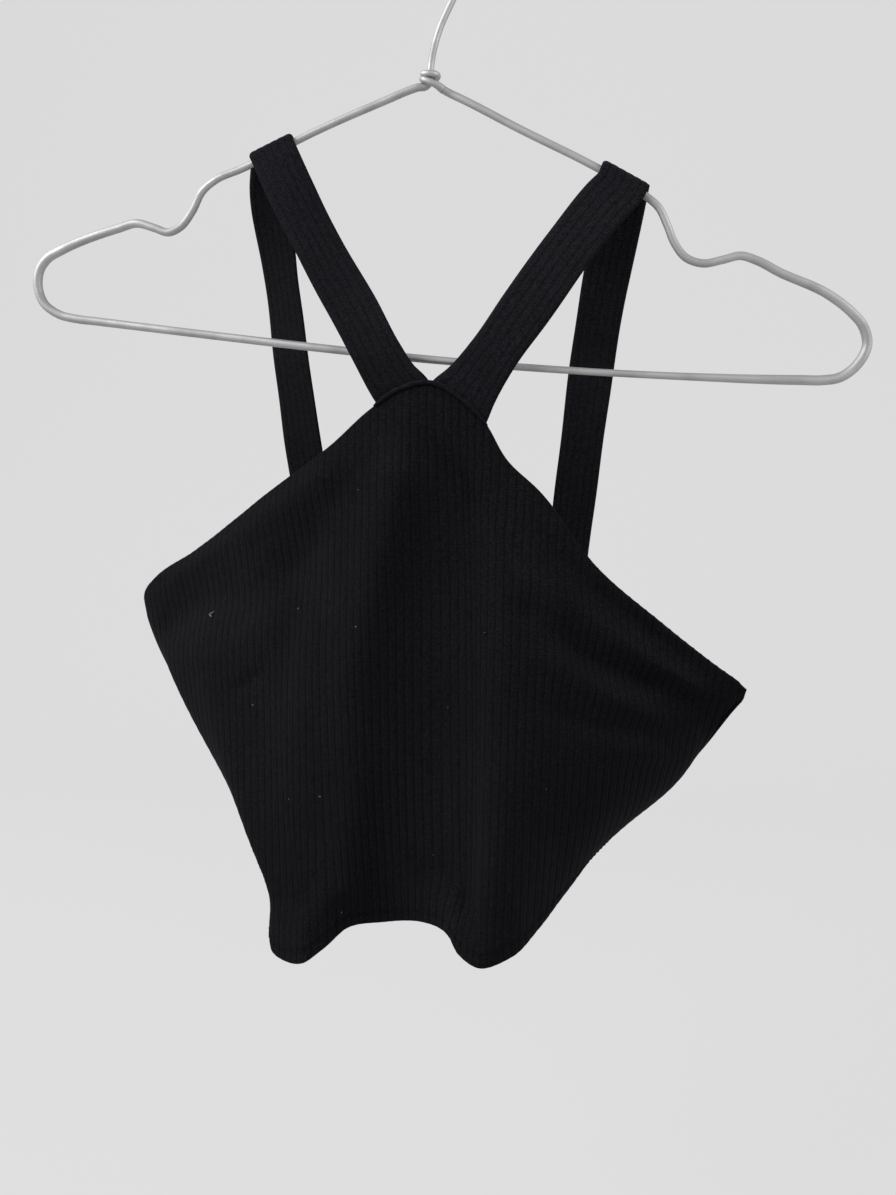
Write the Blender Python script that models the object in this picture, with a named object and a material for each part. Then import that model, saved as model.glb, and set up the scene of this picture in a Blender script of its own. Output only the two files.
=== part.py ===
# Black ribbed crop top hanging by its straps on a wire hanger.
# The tables are in millimetres. X runs along the hanger, the front faces -Y and Z is up.
# The origin is the point inside the hook that bears on a rod.
import math

import bmesh
import bpy
import numpy as np

MM = 0.001

# Cloth
WALL = 1.1
RIB_RISE = 0.5
TURN_WIDTH = 6.5
TURN_EXTRA = 0.9
SEAM_GAP = 0.3
FRONT_RIBS = 84
FRONT_ROWS = 14
BACK_RIBS = 84
BACK_ROWS = 8
COLUMNS_PER_RIB = 2
INNER_STEP = 4
CREASE_FADE = 3.0
CREASE_END = 0.35
TUCK_LEVEL = 0.13
CURVE_SAMPLES = 1200

# Straps
STRAP_THICK = 2.0
STRAP_RIBS = 6
STRAP_GROOVE = 0.3
STRAP_ROWS = 34
STRAP_BEND_WEIGHT = 9.0
TANGENT_STEP = 0.5

# Neck edge
ROLL_RADIUS = 1.3
ROLL_SHARES = (0.458, 0.607)
ROLL_STEPS = 18
ROLL_RESOLUTION = 2

# Hanger
WIRE_RADIUS = 1.9
WIRE_RESOLUTION = 3
WIRE_BEND_WEIGHT = 7.0
STEM_SPACING = 8.0
ARM_SPACING = 7.0
END_SPACING = 5.0
BAR_SPACING = 26.0
HOOK_RADIUS = 25.0
HOOK_FROM = -8
HOOK_TO = 196
HOOK_STEP = 12
COLLAR_RADIUS = 4.1
COLLAR_PITCH = 4.2
COLLAR_TURNS = 1.4
COLLAR_LOW = -92.8
COLLAR_STEPS = 26

# Front hem from the left seam to the right seam: x, y, z
FRONT_HEM = [
    (-68, 32, -506),
    (-78, 14, -510),
    (-85.5, -6, -515),
    (-85, -13, -521.5),
    (-75, -21, -524),
    (-63, -26, -521),
    (-53.5, -21, -515),
    (-44, -12, -507.5),
    (-24, -6, -505.8),
    (-4, -12, -501.8),
    (9, -22, -502),
    (15.5, -29, -508.5),
    (28.5, -34, -512.8),
    (45, -26, -509.5),
    (57, -8, -503),
    (69.5, 8, -491.5),
    (81, 22, -480),
    (89.5, 38, -474),
    (89, 58, -474),
    (80, 76, -479),
]

# Front upper edge from the left underarm over the neck to the right underarm: x, y, z
FRONT_EDGE = [
    (-168.5, 35, -345.5),
    (-165, 31, -338),
    (-157, 27.5, -330),
    (-131, 20, -314.5),
    (-82.5, 2, -281),
    (-48, -10, -258),
    (-26, -14, -240),
    (-12, -15, -231),
    (2.5, -15, -228.2),
    (16.5, -15, -235),
    (29, -14, -247),
    (40, -12.5, -265),
    (54, -10, -278.5),
    (83, -6, -316.5),
    (113, -3, -342.5),
    (142, 0, -365),
    (154, 2, -373.5),
    (156.5, 5, -376),
]

# Push between hem and upper edge: share of the width, x, y, lean of its peak upwards, tuck above the hem
FRONT_BULGE = [
    (0.00, -12, 2, 1.9, 4.5),
    (0.05, -18.5, 0, 1.8, 5.0),
    (0.12, -12, -3, 1.8, 6.0),
    (0.22, 0, -5, 1.4, 2.0),
    (0.33, 0, -8, 1.2, 0.0),
    (0.42, 0, -5, 1.0, 0.0),
    (0.50, 0, 2, 1.0, 0.0),
    (0.60, 0, -6, 1.0, 0.0),
    (0.72, 2, -12, 0.9, 0.0),
    (0.84, 12, -8, 0.7, 0.0),
    (0.93, 22.5, -2, 0.66, 0.0),
    (1.00, 16, 3, 0.62, 0.0),
]

# Creases of the front: share of width and height at both ends, half width, rise
FRONT_CREASES = [
    (0.66, 0.80, 0.93, 0.62, 7.0, -3.0),
    (0.70, 0.66, 0.97, 0.55, 7.0, -2.6),
    (0.80, 0.74, 0.99, 0.74, 6.0, 1.8),
    (0.04, 0.62, 0.30, 0.86, 7.0, -2.2),
    (0.14, 0.52, 0.28, 0.66, 6.0, -1.8),
    (0.36, 0.45, 0.38, 0.97, 9.0, 1.8),
]

# Outward direction of the side seams at the hem and at the underarm
SEAM_LEFT = [(-0.95, 0.30, 0.0), (-1.0, 0.0, 0.0)]
SEAM_RIGHT = [(0.95, 0.30, 0.0), (1.0, 0.0, 0.0)]

# Back hem from the right seam to the left seam: x, y, z
BACK_HEM = [
    (80, 76.4, -479),
    (76, 96, -483),
    (54, 109, -490),
    (32, 98, -496),
    (16, 62, -500),
    (-2, 44, -503),
    (-18, 62, -505),
    (-38, 92, -507),
    (-58, 88, -507),
    (-68, 60, -506),
    (-68, 32.8, -506),
]

# Back upper edge from the right underarm to the left underarm: x, y, z
BACK_EDGE = [
    (156.5, 5.4, -376),
    (154, 8.5, -375.5),
    (110, 30, -374),
    (61, 50, -370),
    (0, 54, -367),
    (-67, 52, -356),
    (-120, 47, -352),
    (-164, 39.5, -347.5),
    (-168.5, 35.4, -345.5),
]

BACK_BULGE = [
    (0.0, 16, 3, 0.62, 0.0),
    (0.1, 10, 8, 0.7, 0.0),
    (0.5, 0, -2, 1.0, 0.0),
    (0.9, -6, 6, 1.4, 3.5),
    (1.0, -12, 2, 1.9, 4.5),
]

BACK_CREASES = [
    (0.04, 0.60, 0.34, 0.90, 8.0, -2.4),
    (0.66, 0.88, 0.95, 0.55, 8.0, -2.4),
    (0.40, 0.80, 0.58, 0.84, 7.0, -1.6),
]

# Strap centre lines from the neck over the hanger to the back: x, y, z, slope, yaw, width
STRAP_LEFT = [
    (-10.4, -10.5, -233.8, 24, 0, 30),
    (-15.3, -12.0, -227.5, 26, 1, 26),
    (-22.5, -14.5, -214.9, 28, 6, 23.5),
    (-33.4, -14.5, -194.3, 29, 18, 23.5),
    (-50.2, -10.5, -166.2, 29, 26, 23),
    (-66.2, -6.3, -136.5, 25, 14, 22.5),
    (-73.6, -3.7, -121.4, 22.5, 2, 22.5),
    (-75.6, -2.5, -117.6, 22.5, 0, 22.5),
    (-76.1, 0.0, -116.6, 22.5, 0, 22.5),
    (-75.8, 2.5, -117.6, 22, 0, 22.5),
    (-75.8, 3.8, -121.8, 20, 0, 22.5),
    (-79.6, 9.0, -136.0, 8, -12, 22.5),
    (-81.1, 24.0, -167.3, 4, -22, 22),
    (-78.3, 40.0, -234.3, 2, -14, 22),
    (-74.6, 49.0, -285.6, -2, -6, 22),
    (-66.8, 51.0, -353.4, -9, 1, 22),
]

STRAP_RIGHT = [
    (15.6, -10.8, -236.8, -36, 0, 32),
    (21.2, -12.1, -229.6, -36, 0, 27.5),
    (31.7, -14.5, -215.4, -36, 0, 23.8),
    (46.1, -14.5, -195.4, -36, 0, 23.8),
    (67.0, -10.0, -166.2, -35, -4, 23.8),
    (81.8, -6.2, -147.5, -32, -4, 23.8),
    (88.6, -3.9, -140.0, -29, 0, 23.4),
    (90.1, -2.7, -136.0, -29, 0, 23.4),
    (90.5, 0.0, -134.8, -29, 0, 23.4),
    (90.2, 2.7, -136.0, -28, 0, 23.4),
    (89.4, 4.0, -140.4, -24, 0, 23.4),
    (87.4, 9.0, -154.0, -10, 6, 22.8),
    (81.8, 25.0, -184.7, -6, 8, 22.5),
    (77.9, 35.0, -212.6, -4, 6, 22.5),
    (72.0, 44.0, -265.5, -3, 2, 22),
    (61.4, 49.1, -369.1, -4, 0, 22),
]

# Hanger wire in its plane: x, z
STEM = [
    (0.0, -97.0),
    (0.0, -90.0),
    (0.5, -83.0),
    (4.0, -71.0),
    (10.9, -58.0),
    (18.2, -45.0),
    (23.2, -34.0),
]
ARM_LEFT = [
    (-6.3, -94.4),
    (-20.0, -99.0),
    (-51.9, -110.5),
    (-91.6, -127.0),
    (-104.0, -131.4),
    (-110.5, -136.0),
    (-116.5, -145.5),
    (-122.5, -152.2),
    (-129.0, -154.8),
    (-136.0, -152.6),
    (-145.0, -150.2),
    (-155.0, -152.4),
    (-186.0, -162.2),
]
END_LEFT = [
    (-186.6, -162.4),
    (-192.0, -165.0),
    (-197.2, -170.6),
    (-199.0, -178.2),
    (-196.4, -187.0),
    (-188.4, -192.8),
    (-180.0, -194.9),
]
BAR = [
    (-179.4, -195.0),
    (-169.0, -196.3),
    (-113.0, -203.3),
    (-54.0, -210.4),
    (0.0, -216.3),
    (57.6, -221.2),
    (126.3, -225.3),
    (172.1, -226.9),
    (182.0, -227.0),
]
END_RIGHT = [
    (182.6, -227.0),
    (189.0, -226.0),
    (196.0, -221.0),
    (200.4, -211.5),
    (198.0, -203.1),
    (192.0, -196.5),
    (183.0, -189.8),
]
ARM_RIGHT = [
    (182.5, -189.4),
    (160.0, -179.0),
    (150.0, -173.8),
    (143.0, -171.6),
    (135.0, -173.2),
    (126.4, -174.6),
    (118.4, -171.8),
    (113.2, -165.4),
    (109.6, -157.4),
    (105.6, -149.8),
    (99.6, -144.6),
    (77.8, -132.0),
    (42.1, -114.0),
    (15.0, -99.9),
    (3.2, -95.4),
]


def clear_scene():
    for item in list(bpy.data.objects):
        bpy.data.objects.remove(item, do_unlink=True)


def material(name, color, roughness, metallic):
    made = bpy.data.materials.new(name)
    made.use_nodes = True
    shader = made.node_tree.nodes["Principled BSDF"]
    shader.inputs["Base Color"].default_value = (*color, 1.0)
    shader.inputs["Roughness"].default_value = roughness
    shader.inputs["Metallic"].default_value = metallic
    return made


def add_object(name, points, faces, slot):
    """One closed mesh from points in millimetres."""
    mesh = bpy.data.meshes.new(name)
    mesh.from_pydata([tuple(MM * value for value in point) for point in points], [], faces)
    mesh.update()
    work = bmesh.new()
    work.from_mesh(mesh)
    bmesh.ops.triangulate(work, faces=work.faces[:])
    bmesh.ops.recalc_face_normals(work, faces=work.faces[:])
    work.to_mesh(mesh)
    work.free()
    made = bpy.data.objects.new(name, mesh)
    made.data.materials.append(slot)
    bpy.context.scene.collection.objects.link(made)
    return made


def smooth(knots, rows, at):
    """Smooth curve through the rows, read at the places in at."""
    knots = np.asarray(knots, float)
    rows = np.asarray(rows, float)
    at = np.clip(np.asarray(at, float), knots[0], knots[-1])
    gaps = np.diff(knots)
    slopes = np.diff(rows, axis=0) / gaps[:, None]
    tangents = np.empty_like(rows)
    tangents[0] = slopes[0]
    tangents[-1] = slopes[-1]
    before = gaps[:-1, None]
    after = gaps[1:, None]
    tangents[1:-1] = (slopes[:-1] * after + slopes[1:] * before) / (before + after)
    cell = np.clip(np.searchsorted(knots, at, side="right") - 1, 0, len(gaps) - 1)
    span = gaps[cell][:, None]
    k = (at - knots[cell])[:, None] / span
    first = rows[cell] * (1 + 2 * k) * (1 - k) ** 2 + rows[cell + 1] * k**2 * (3 - 2 * k)
    second = tangents[cell] * k * (1 - k) ** 2 - tangents[cell + 1] * k**2 * (1 - k)
    return first + span * second


def lengths(rows, axes):
    steps = np.diff(np.asarray(rows, float)[:, axes], axis=0)
    return np.concatenate([[0.0], np.cumsum(np.linalg.norm(steps, axis=1))])


def even_curve(rows, axes, shares):
    """Points at even shares of the curve's length, measured in the named axes."""
    rows = np.asarray(rows, float)
    knots = lengths(rows, [0, 1, 2])
    fine = smooth(knots, rows, np.linspace(0, knots[-1], CURVE_SAMPLES))
    run = lengths(fine, axes)
    shares = np.asarray(shares) * run[-1]
    return np.stack([np.interp(shares, run, fine[:, axis]) for axis in range(3)], axis=1)


def crease_push(creases, width, height, share, level):
    """Rise of the cloth from the creases at a share of width and height."""
    total = np.zeros_like(share)
    for share_a, level_a, share_b, level_b, half, rise in creases:
        ax = share_a * width
        ay = level_a * height
        dx = share_b * width - ax
        dy = level_b * height - ay
        long = math.hypot(dx, dy)
        px = share * width - ax
        py = level * height - ay
        along = (px * dx + py * dy) / long**2
        across = (px * dy - py * dx) / long
        fade = np.clip(np.minimum(along, 1 - along) * CREASE_FADE + CREASE_END, 0, 1)
        total += rise * fade * np.exp(-((across / half) ** 2))
    return total


def panel_surface(hem, edge, bulge, creases, shares, levels):
    """Points and outward normals of a panel, one row per level and one column per share."""
    hem_points = even_curve(hem, [0, 1, 2], shares)
    edge_points = even_curve(edge, [0, 1], shares)
    bulge = np.asarray(bulge, float)
    push = smooth(bulge[:, 0], bulge[:, 1:3], shares)
    push = np.concatenate([push, np.zeros((len(shares), 1))], axis=1)
    lean = np.interp(shares, bulge[:, 0], bulge[:, 3])[None, :, None]
    width = lengths(hem, [0, 1, 2])[-1]
    height = np.linalg.norm(edge_points - hem_points, axis=1).mean()
    t = levels[:, :, None]
    low = np.maximum(lean, 1)
    high = np.maximum(1 / lean, 1)
    peak = low / (low + high)
    weight = (t / peak) ** low * ((1 - t) / (1 - peak)) ** high
    points = hem_points[None] * (1 - t) + edge_points[None] * t + push[None] * weight
    near_hem = (levels / TUCK_LEVEL) ** 2
    tuck = np.interp(shares, bulge[:, 0], bulge[:, 4])[None]
    points[:, :, 0] += tuck * near_hem * np.exp(1 - near_hem)
    normals = surface_normals(points)
    grid = np.broadcast_to(np.asarray(shares)[None], levels.shape)
    points = points + normals * crease_push(creases, width, height, grid, levels)[:, :, None]
    return points, surface_normals(points)


def surface_normals(points):
    across = np.gradient(points, axis=1)
    up = np.gradient(points, axis=0)
    normals = np.cross(across, up)
    return normals / np.linalg.norm(normals, axis=2, keepdims=True)


def row_levels(hem, edge, shares, rows):
    """Heights of the rows as shares, with one row at the depth of each turned edge."""
    hem_points = even_curve(hem, [0, 1, 2], shares)
    edge_points = even_curve(edge, [0, 1], shares)
    rib_length = np.linalg.norm(edge_points - hem_points, axis=1)
    turn = TURN_WIDTH / rib_length
    inner = turn[None] + (1 - 2 * turn[None]) * np.linspace(0, 1, rows - 1)[:, None]
    return np.concatenate([np.zeros((1, len(shares))), inner, np.ones((1, len(shares)))])


def seam_normals(seam, level):
    """Both panels of a seam turn the same way, so that their ends stay apart."""
    normals = np.outer(1 - level, seam[0]) + np.outer(level, seam[1])
    return normals / np.linalg.norm(normals, axis=1, keepdims=True)


def build_panel(name, tables, seams, ribs, rows, slot):
    """Ribbed wall: fine outer points over a plain inside with turned edges."""
    hem, edge, bulge, creases = tables
    columns = ribs * COLUMNS_PER_RIB
    half_step = INNER_STEP // 2
    shares = np.linspace(0, 1, columns + 1)
    levels = row_levels(hem, edge, shares, rows)
    points, normals = panel_surface(hem, edge, bulge, creases, shares, levels)
    normals[:, 0] = seam_normals(seams[0], levels[:, 0])
    normals[:, -1] = seam_normals(seams[1], levels[:, -1])
    high = np.arange(columns + 1) % COLUMNS_PER_RIB == 1
    outer = points + normals * (RIB_RISE * high)[None, :, None]
    deep = np.full(rows + 1, WALL)
    deep[[0, 1, -2, -1]] += TURN_EXTRA
    inner_columns = np.arange(0, columns + 1, INNER_STEP)
    inner = (points - normals * deep[:, None, None])[:, inner_columns]
    vertices = [tuple(p) for p in outer.reshape(-1, 3)] + [tuple(p) for p in inner.reshape(-1, 3)]
    first_inner = outer.shape[0] * outer.shape[1]

    def out(row, column):
        return row * (columns + 1) + column

    def inside(row, column):
        return first_inner + row * len(inner_columns) + column

    faces = []
    for row in range(rows):
        for column in range(columns):
            a, b = out(row, column), out(row, column + 1)
            c, d = out(row + 1, column + 1), out(row + 1, column)
            faces += [(a, b, c), (a, c, d)]
        for column in range(len(inner_columns) - 1):
            a, b = inside(row, column), inside(row, column + 1)
            c, d = inside(row + 1, column + 1), inside(row + 1, column)
            faces += [(a, c, b), (a, d, c)]
    for row, flip in ((0, False), (rows, True)):
        for column in range(len(inner_columns) - 1):
            start = column * INNER_STEP
            a, b = inside(row, column), inside(row, column + 1)
            middle = start + half_step
            fan = [(a, out(row, k + 1), out(row, k)) for k in range(start, middle)]
            fan += [(b, out(row, k + 1), out(row, k)) for k in range(middle, start + INNER_STEP)]
            fan.append((a, b, out(row, middle)))
            faces += [face[::-1] if flip else face for face in fan]
    last = len(inner_columns) - 1
    for row in range(rows):
        a, b = out(row, 0), out(row + 1, 0)
        c, d = inside(row + 1, 0), inside(row, 0)
        faces += [(a, b, c), (a, c, d)]
        a, b = out(row, columns), out(row + 1, columns)
        c, d = inside(row + 1, last), inside(row, last)
        faces += [(a, c, b), (a, d, c)]
    return add_object(name, vertices, faces, slot)


def loft(name, rings, slot):
    """Closed body through rings of points, with a cap at each end."""
    sides = len(rings[0])
    vertices = [tuple(p) for ring in rings for p in ring]
    faces = []
    for row in range(len(rings) - 1):
        for k in range(sides):
            a, b = row * sides + k, row * sides + (k + 1) % sides
            faces.append((a, b, b + sides, a + sides))
    ends = [np.mean(rings[0], axis=0), np.mean(rings[-1], axis=0)]
    for end, first in zip(ends, (0, (len(rings) - 1) * sides)):
        centre = len(vertices)
        vertices.append(tuple(end))
        faces += [(centre, first + k, first + (k + 1) % sides) for k in range(sides)]
    return add_object(name, vertices, faces, slot)


def strap_rings(table, rows):
    """Rings of a folded band with lengthwise grooves on both faces."""
    table = np.asarray(table, float)
    knots = lengths(table, [0, 1, 2])
    shares = np.linspace(0, knots[-1], CURVE_SAMPLES)
    fine = smooth(knots, table, shares)
    bend = np.linalg.norm(np.gradient(np.gradient(fine[:, :3], axis=0), axis=0), axis=1)
    weight = 1 + STRAP_BEND_WEIGHT * bend / bend.max()
    run = np.concatenate([[0.0], np.cumsum((weight[1:] + weight[:-1]) / 2)])
    places = np.interp(np.linspace(0, run[-1], rows), run, shares)
    tangent = smooth(knots, table, np.minimum(places + TANGENT_STEP, knots[-1]))[:, :3]
    tangent = tangent - smooth(knots, table, np.maximum(places - TANGENT_STEP, 0))[:, :3]
    tangent /= np.linalg.norm(tangent, axis=1, keepdims=True)
    centre = smooth(knots, table, places)
    points_across = 2 * STRAP_RIBS
    across = np.linspace(-1, 1, points_across + 1)
    lift = np.where(np.arange(points_across + 1) % 2 == 1, 0.0, -STRAP_GROOVE)
    rings = []
    for place, along in zip(centre, tangent):
        slope = math.radians(place[3])
        yaw = math.radians(place[4])
        side = np.array([math.cos(slope) * math.cos(yaw), math.sin(yaw), math.sin(slope) * math.cos(yaw)])
        side -= along * (side @ along)
        side /= np.linalg.norm(side)
        out = np.cross(side, along)
        middle = place[:3] + np.outer(across, side) * place[5] / 2
        thick = np.outer(STRAP_THICK / 2 + lift, out)
        rings.append(np.concatenate([middle + thick, (middle - thick)[::-1]]))
    return rings


def tube(name, path, radius, resolution, slot):
    """Curve object through the path, with filled ends."""
    curve = bpy.data.curves.new(name, "CURVE")
    curve.dimensions = "3D"
    curve.bevel_depth = radius * MM
    curve.bevel_resolution = resolution
    curve.use_fill_caps = True
    spline = curve.splines.new("POLY")
    spline.points.add(len(path) - 1)
    for point, place in zip(spline.points, path):
        point.co = (*(MM * value for value in place), 1.0)
    made = bpy.data.objects.new(name, curve)
    made.data.materials.append(slot)
    bpy.context.scene.collection.objects.link(made)
    return made


def wire_path(rows, spacing):
    """Points of the hanger's plane, closer together where the wire bends."""
    rows = np.array([(x, 0.0, z) for x, z in rows])
    knots = lengths(rows, [0, 2])
    shares = np.linspace(0, knots[-1], CURVE_SAMPLES)
    fine = smooth(knots, rows, shares)
    bend = np.linalg.norm(np.gradient(np.gradient(fine, axis=0), axis=0), axis=1)
    weight = 1 + WIRE_BEND_WEIGHT * bend / bend.max()
    run = np.concatenate([[0.0], np.cumsum((weight[1:] + weight[:-1]) / 2)])
    count = max(4, round(knots[-1] / spacing))
    places = np.interp(np.linspace(0, run[-1], count), run, shares)
    return smooth(knots, rows, places)


def build_wire(name, rows, spacing, slot):
    return tube(name, wire_path(rows, spacing), WIRE_RADIUS, WIRE_RESOLUTION, slot)


def build_hook(slot):
    """Stem that leans into a round hook with its inner top at the origin."""
    angles = np.radians(np.arange(HOOK_FROM, HOOK_TO + 1, HOOK_STEP))
    middle = WIRE_RADIUS - HOOK_RADIUS
    arc = [(HOOK_RADIUS * math.cos(a), 0.0, middle + HOOK_RADIUS * math.sin(a)) for a in angles]
    path = [tuple(place) for place in wire_path(STEM, STEM_SPACING)] + arc
    return tube("hanger_hook", path, WIRE_RADIUS, WIRE_RESOLUTION, slot)


def build_collar(slot):
    """The wire's other end, wrapped round the stem."""
    path = []
    for step in range(COLLAR_STEPS + 1):
        turn = COLLAR_TURNS * step / COLLAR_STEPS
        angle = 2 * math.pi * turn
        height = COLLAR_LOW + COLLAR_PITCH * turn
        path.append((-COLLAR_RADIUS * math.cos(angle), -COLLAR_RADIUS * math.sin(angle), height))
    return tube("hanger_collar", path, WIRE_RADIUS, WIRE_RESOLUTION, slot)


def build_roll(slot):
    """Rolled seam in front of the place where the straps meet the neck edge."""
    shares = np.linspace(*ROLL_SHARES, ROLL_STEPS)
    levels = row_levels(FRONT_HEM, FRONT_EDGE, shares, FRONT_ROWS)
    points, normals = panel_surface(FRONT_HEM, FRONT_EDGE, FRONT_BULGE, FRONT_CREASES, shares, levels)
    path = points[-1] + normals[-1] * (RIB_RISE + SEAM_GAP + ROLL_RADIUS)
    return tube("neck_roll", path, ROLL_RADIUS, ROLL_RESOLUTION, slot)


def main():
    clear_scene()
    knit = material("rib_knit", (0.012, 0.012, 0.016), 0.92, 0.0)
    metal = material("hanger_wire", (0.42, 0.42, 0.43), 0.38, 1.0)
    front = (FRONT_HEM, FRONT_EDGE, FRONT_BULGE, FRONT_CREASES)
    back = (BACK_HEM, BACK_EDGE, BACK_BULGE, BACK_CREASES)
    build_panel("front_panel", front, (SEAM_LEFT, SEAM_RIGHT), FRONT_RIBS, FRONT_ROWS, knit)
    build_panel("back_panel", back, (SEAM_RIGHT, SEAM_LEFT), BACK_RIBS, BACK_ROWS, knit)
    loft("strap_left", strap_rings(STRAP_LEFT, STRAP_ROWS), knit)
    loft("strap_right", strap_rings(STRAP_RIGHT, STRAP_ROWS), knit)
    build_roll(knit)
    build_hook(metal)
    build_collar(metal)
    build_wire("hanger_arm_left", ARM_LEFT, ARM_SPACING, metal)
    build_wire("hanger_end_left", END_LEFT, END_SPACING, metal)
    build_wire("hanger_bar", BAR, BAR_SPACING, metal)
    build_wire("hanger_end_right", END_RIGHT, END_SPACING, metal)
    build_wire("hanger_arm_right", ARM_RIGHT, ARM_SPACING, metal)


main()
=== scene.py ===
import math

import bpy
import numpy as np
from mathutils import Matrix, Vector


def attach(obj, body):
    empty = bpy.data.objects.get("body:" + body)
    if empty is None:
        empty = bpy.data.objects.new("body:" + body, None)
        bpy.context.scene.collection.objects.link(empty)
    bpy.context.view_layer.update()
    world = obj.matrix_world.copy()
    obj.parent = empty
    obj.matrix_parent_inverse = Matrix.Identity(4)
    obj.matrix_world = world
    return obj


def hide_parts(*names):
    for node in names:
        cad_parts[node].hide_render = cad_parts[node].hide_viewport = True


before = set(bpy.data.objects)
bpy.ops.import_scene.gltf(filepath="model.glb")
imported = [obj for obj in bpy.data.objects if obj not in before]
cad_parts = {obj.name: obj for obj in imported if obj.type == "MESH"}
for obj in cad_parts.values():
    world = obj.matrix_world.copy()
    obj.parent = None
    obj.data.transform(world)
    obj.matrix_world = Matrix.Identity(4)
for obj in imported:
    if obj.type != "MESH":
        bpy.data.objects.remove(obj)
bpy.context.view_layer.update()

bl_info = {
    "name": "Cross-front top on a wire hanger",
    "version": (1, 0, 0),
    "blender": (4, 5, 0),
    "location": "3D View > Sidebar > Top",
    "description": "Builds a black fine-rib top that hangs by its straps from a bent wire hanger",
    "category": "Object",
}

MM = 0.001
BODY = "root"

# Front hem from the left seam to the right seam, in millimetres: x, y, z
FRONT_HEM = [
    (-68, 32, -506), (-78, 14, -510), (-85.5, -6, -515), (-85, -13, -521.5), (-75, -21, -524),
    (-63, -26, -521), (-53.5, -21, -515), (-44, -12, -507.5), (-24, -6, -505.8), (-4, -12, -501.8),
    (9, -22, -502), (15.5, -29, -508.5), (28.5, -34, -512.8), (45, -26, -509.5), (57, -8, -503),
    (69.5, 8, -491.5), (81, 22, -480), (89.5, 38, -474), (89, 58, -474), (80, 76, -479),
]
# Front upper edge from the left underarm over the neck to the right underarm
FRONT_EDGE = [
    (-168.5, 35, -345.5), (-165, 31, -338), (-157, 27.5, -330), (-131, 20, -314.5), (-82.5, 2, -281),
    (-48, -10, -258), (-26, -14, -240), (-12, -15, -231), (2.5, -15, -228.2), (16.5, -15, -235),
    (29, -14, -247), (40, -12.5, -265), (54, -10, -278.5), (83, -6, -316.5), (113, -3, -342.5),
    (142, 0, -365), (154, 2, -373.5), (158.6, 5.5, -377.4),
]
# Push of the front between hem and edge: share of the width, x, y, lean upwards, tuck above the hem
FRONT_BULGE = [
    (0.00, -12, 2, 1.9, 4.5), (0.05, -18.5, 0, 1.8, 5.0), (0.12, -12, -3, 1.8, 6.0),
    (0.22, 0, -5, 1.4, 2.0), (0.33, 0, -8, 1.2, 0.0), (0.42, 0, -5, 1.0, 0.0),
    (0.50, 0, 2, 1.0, 0.0), (0.60, 0, -6, 1.0, 0.0), (0.72, 2, -12, 0.9, 0.0),
    (0.84, 12, -8, 0.7, 0.0), (0.93, 22.5, -2, 0.66, 0.0), (1.00, 16, 3, 0.62, 0.0),
]
# Folds of the front: places along the fold as share of the width and level, half width, rise
FRONT_FOLDS = [
    (((0.50, 0.93), (0.48, 0.86), (0.45, 0.76), (0.415, 0.66), (0.385, 0.56), (0.37, 0.45),
      (0.365, 0.33), (0.335, 0.17), (0.315, 0.03)), 16.0, 6.6),
    (((0.60, 0.93), (0.585, 0.78), (0.575, 0.65), (0.57, 0.50), (0.555, 0.32), (0.535, 0.14),
      (0.52, 0.02)), 25.0, -10.5),
    (((0.615, 0.90), (0.62, 0.81), (0.625, 0.65), (0.615, 0.50), (0.61, 0.39), (0.605, 0.27),
      (0.595, 0.16), (0.57, 0.04)), 9.0, 2.4),
    (((0.36, 0.84), (0.315, 0.78), (0.28, 0.72), (0.245, 0.64), (0.225, 0.55), (0.22, 0.40),
      (0.23, 0.22), (0.24, 0.06)), 18.0, -5.0),
    (((0.03, 0.80), (0.09, 0.84), (0.165, 0.85), (0.222, 0.82), (0.318, 0.85), (0.39, 0.87)), 12.0, -3.6),
    (((0.05, 0.965), (0.20, 0.96), (0.34, 0.955), (0.42, 0.95)), 8.0, 2.4),
    (((0.66, 0.785), (0.70, 0.80), (0.745, 0.835), (0.82, 0.845), (0.90, 0.865), (0.965, 0.93)), 9.0, 4.2),
    (((0.70, 0.70), (0.76, 0.73), (0.83, 0.745), (0.90, 0.77)), 7.5, -3.6),
    (((0.67, 0.65), (0.735, 0.668), (0.805, 0.655), (0.885, 0.635)), 9.0, 4.4),
    (((0.675, 0.56), (0.73, 0.55), (0.79, 0.55), (0.845, 0.55)), 7.0, -2.8),
    (((0.78, 0.515), (0.84, 0.48), (0.90, 0.46)), 9.0, 2.4),
    (((0.66, 0.90), (0.72, 0.925), (0.80, 0.94), (0.90, 0.955)), 7.5, -2.2),
    (((0.655, 0.725), (0.69, 0.75)), 5.0, -2.4),
    (((0.645, 0.80), (0.685, 0.80)), 6.0, 1.5),
    (((0.165, 0.625), (0.20, 0.645), (0.238, 0.668)), 2.8, -1.4),
    (((0.155, 0.66), (0.20, 0.68), (0.235, 0.70)), 5.0, 0.9),
    (((0.10, 0.73), (0.17, 0.72), (0.215, 0.745)), 5.5, 1.0),
    (((0.83, 0.85), (0.90, 0.875), (0.965, 0.91)), 3.6, 0.9),
    (((0.74, 0.04), (0.73, 0.20), (0.74, 0.36)), 9.0, -0.9),
]
BACK_HEM = [
    (80, 76.4, -479), (76, 96, -483), (54, 109, -490), (32, 98, -496), (16, 62, -500), (-2, 44, -503),
    (-18, 62, -505), (-38, 92, -507), (-58, 88, -507), (-68, 60, -506), (-68, 32.8, -506),
]
BACK_EDGE = [
    (158.6, 5.9, -377.4), (154, 8.5, -375.5), (110, 30, -374), (61, 50, -370), (0, 54, -367),
    (-67, 52, -356), (-120, 47, -352), (-164, 39.5, -347.5), (-168.5, 35.4, -345.5),
]
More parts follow.
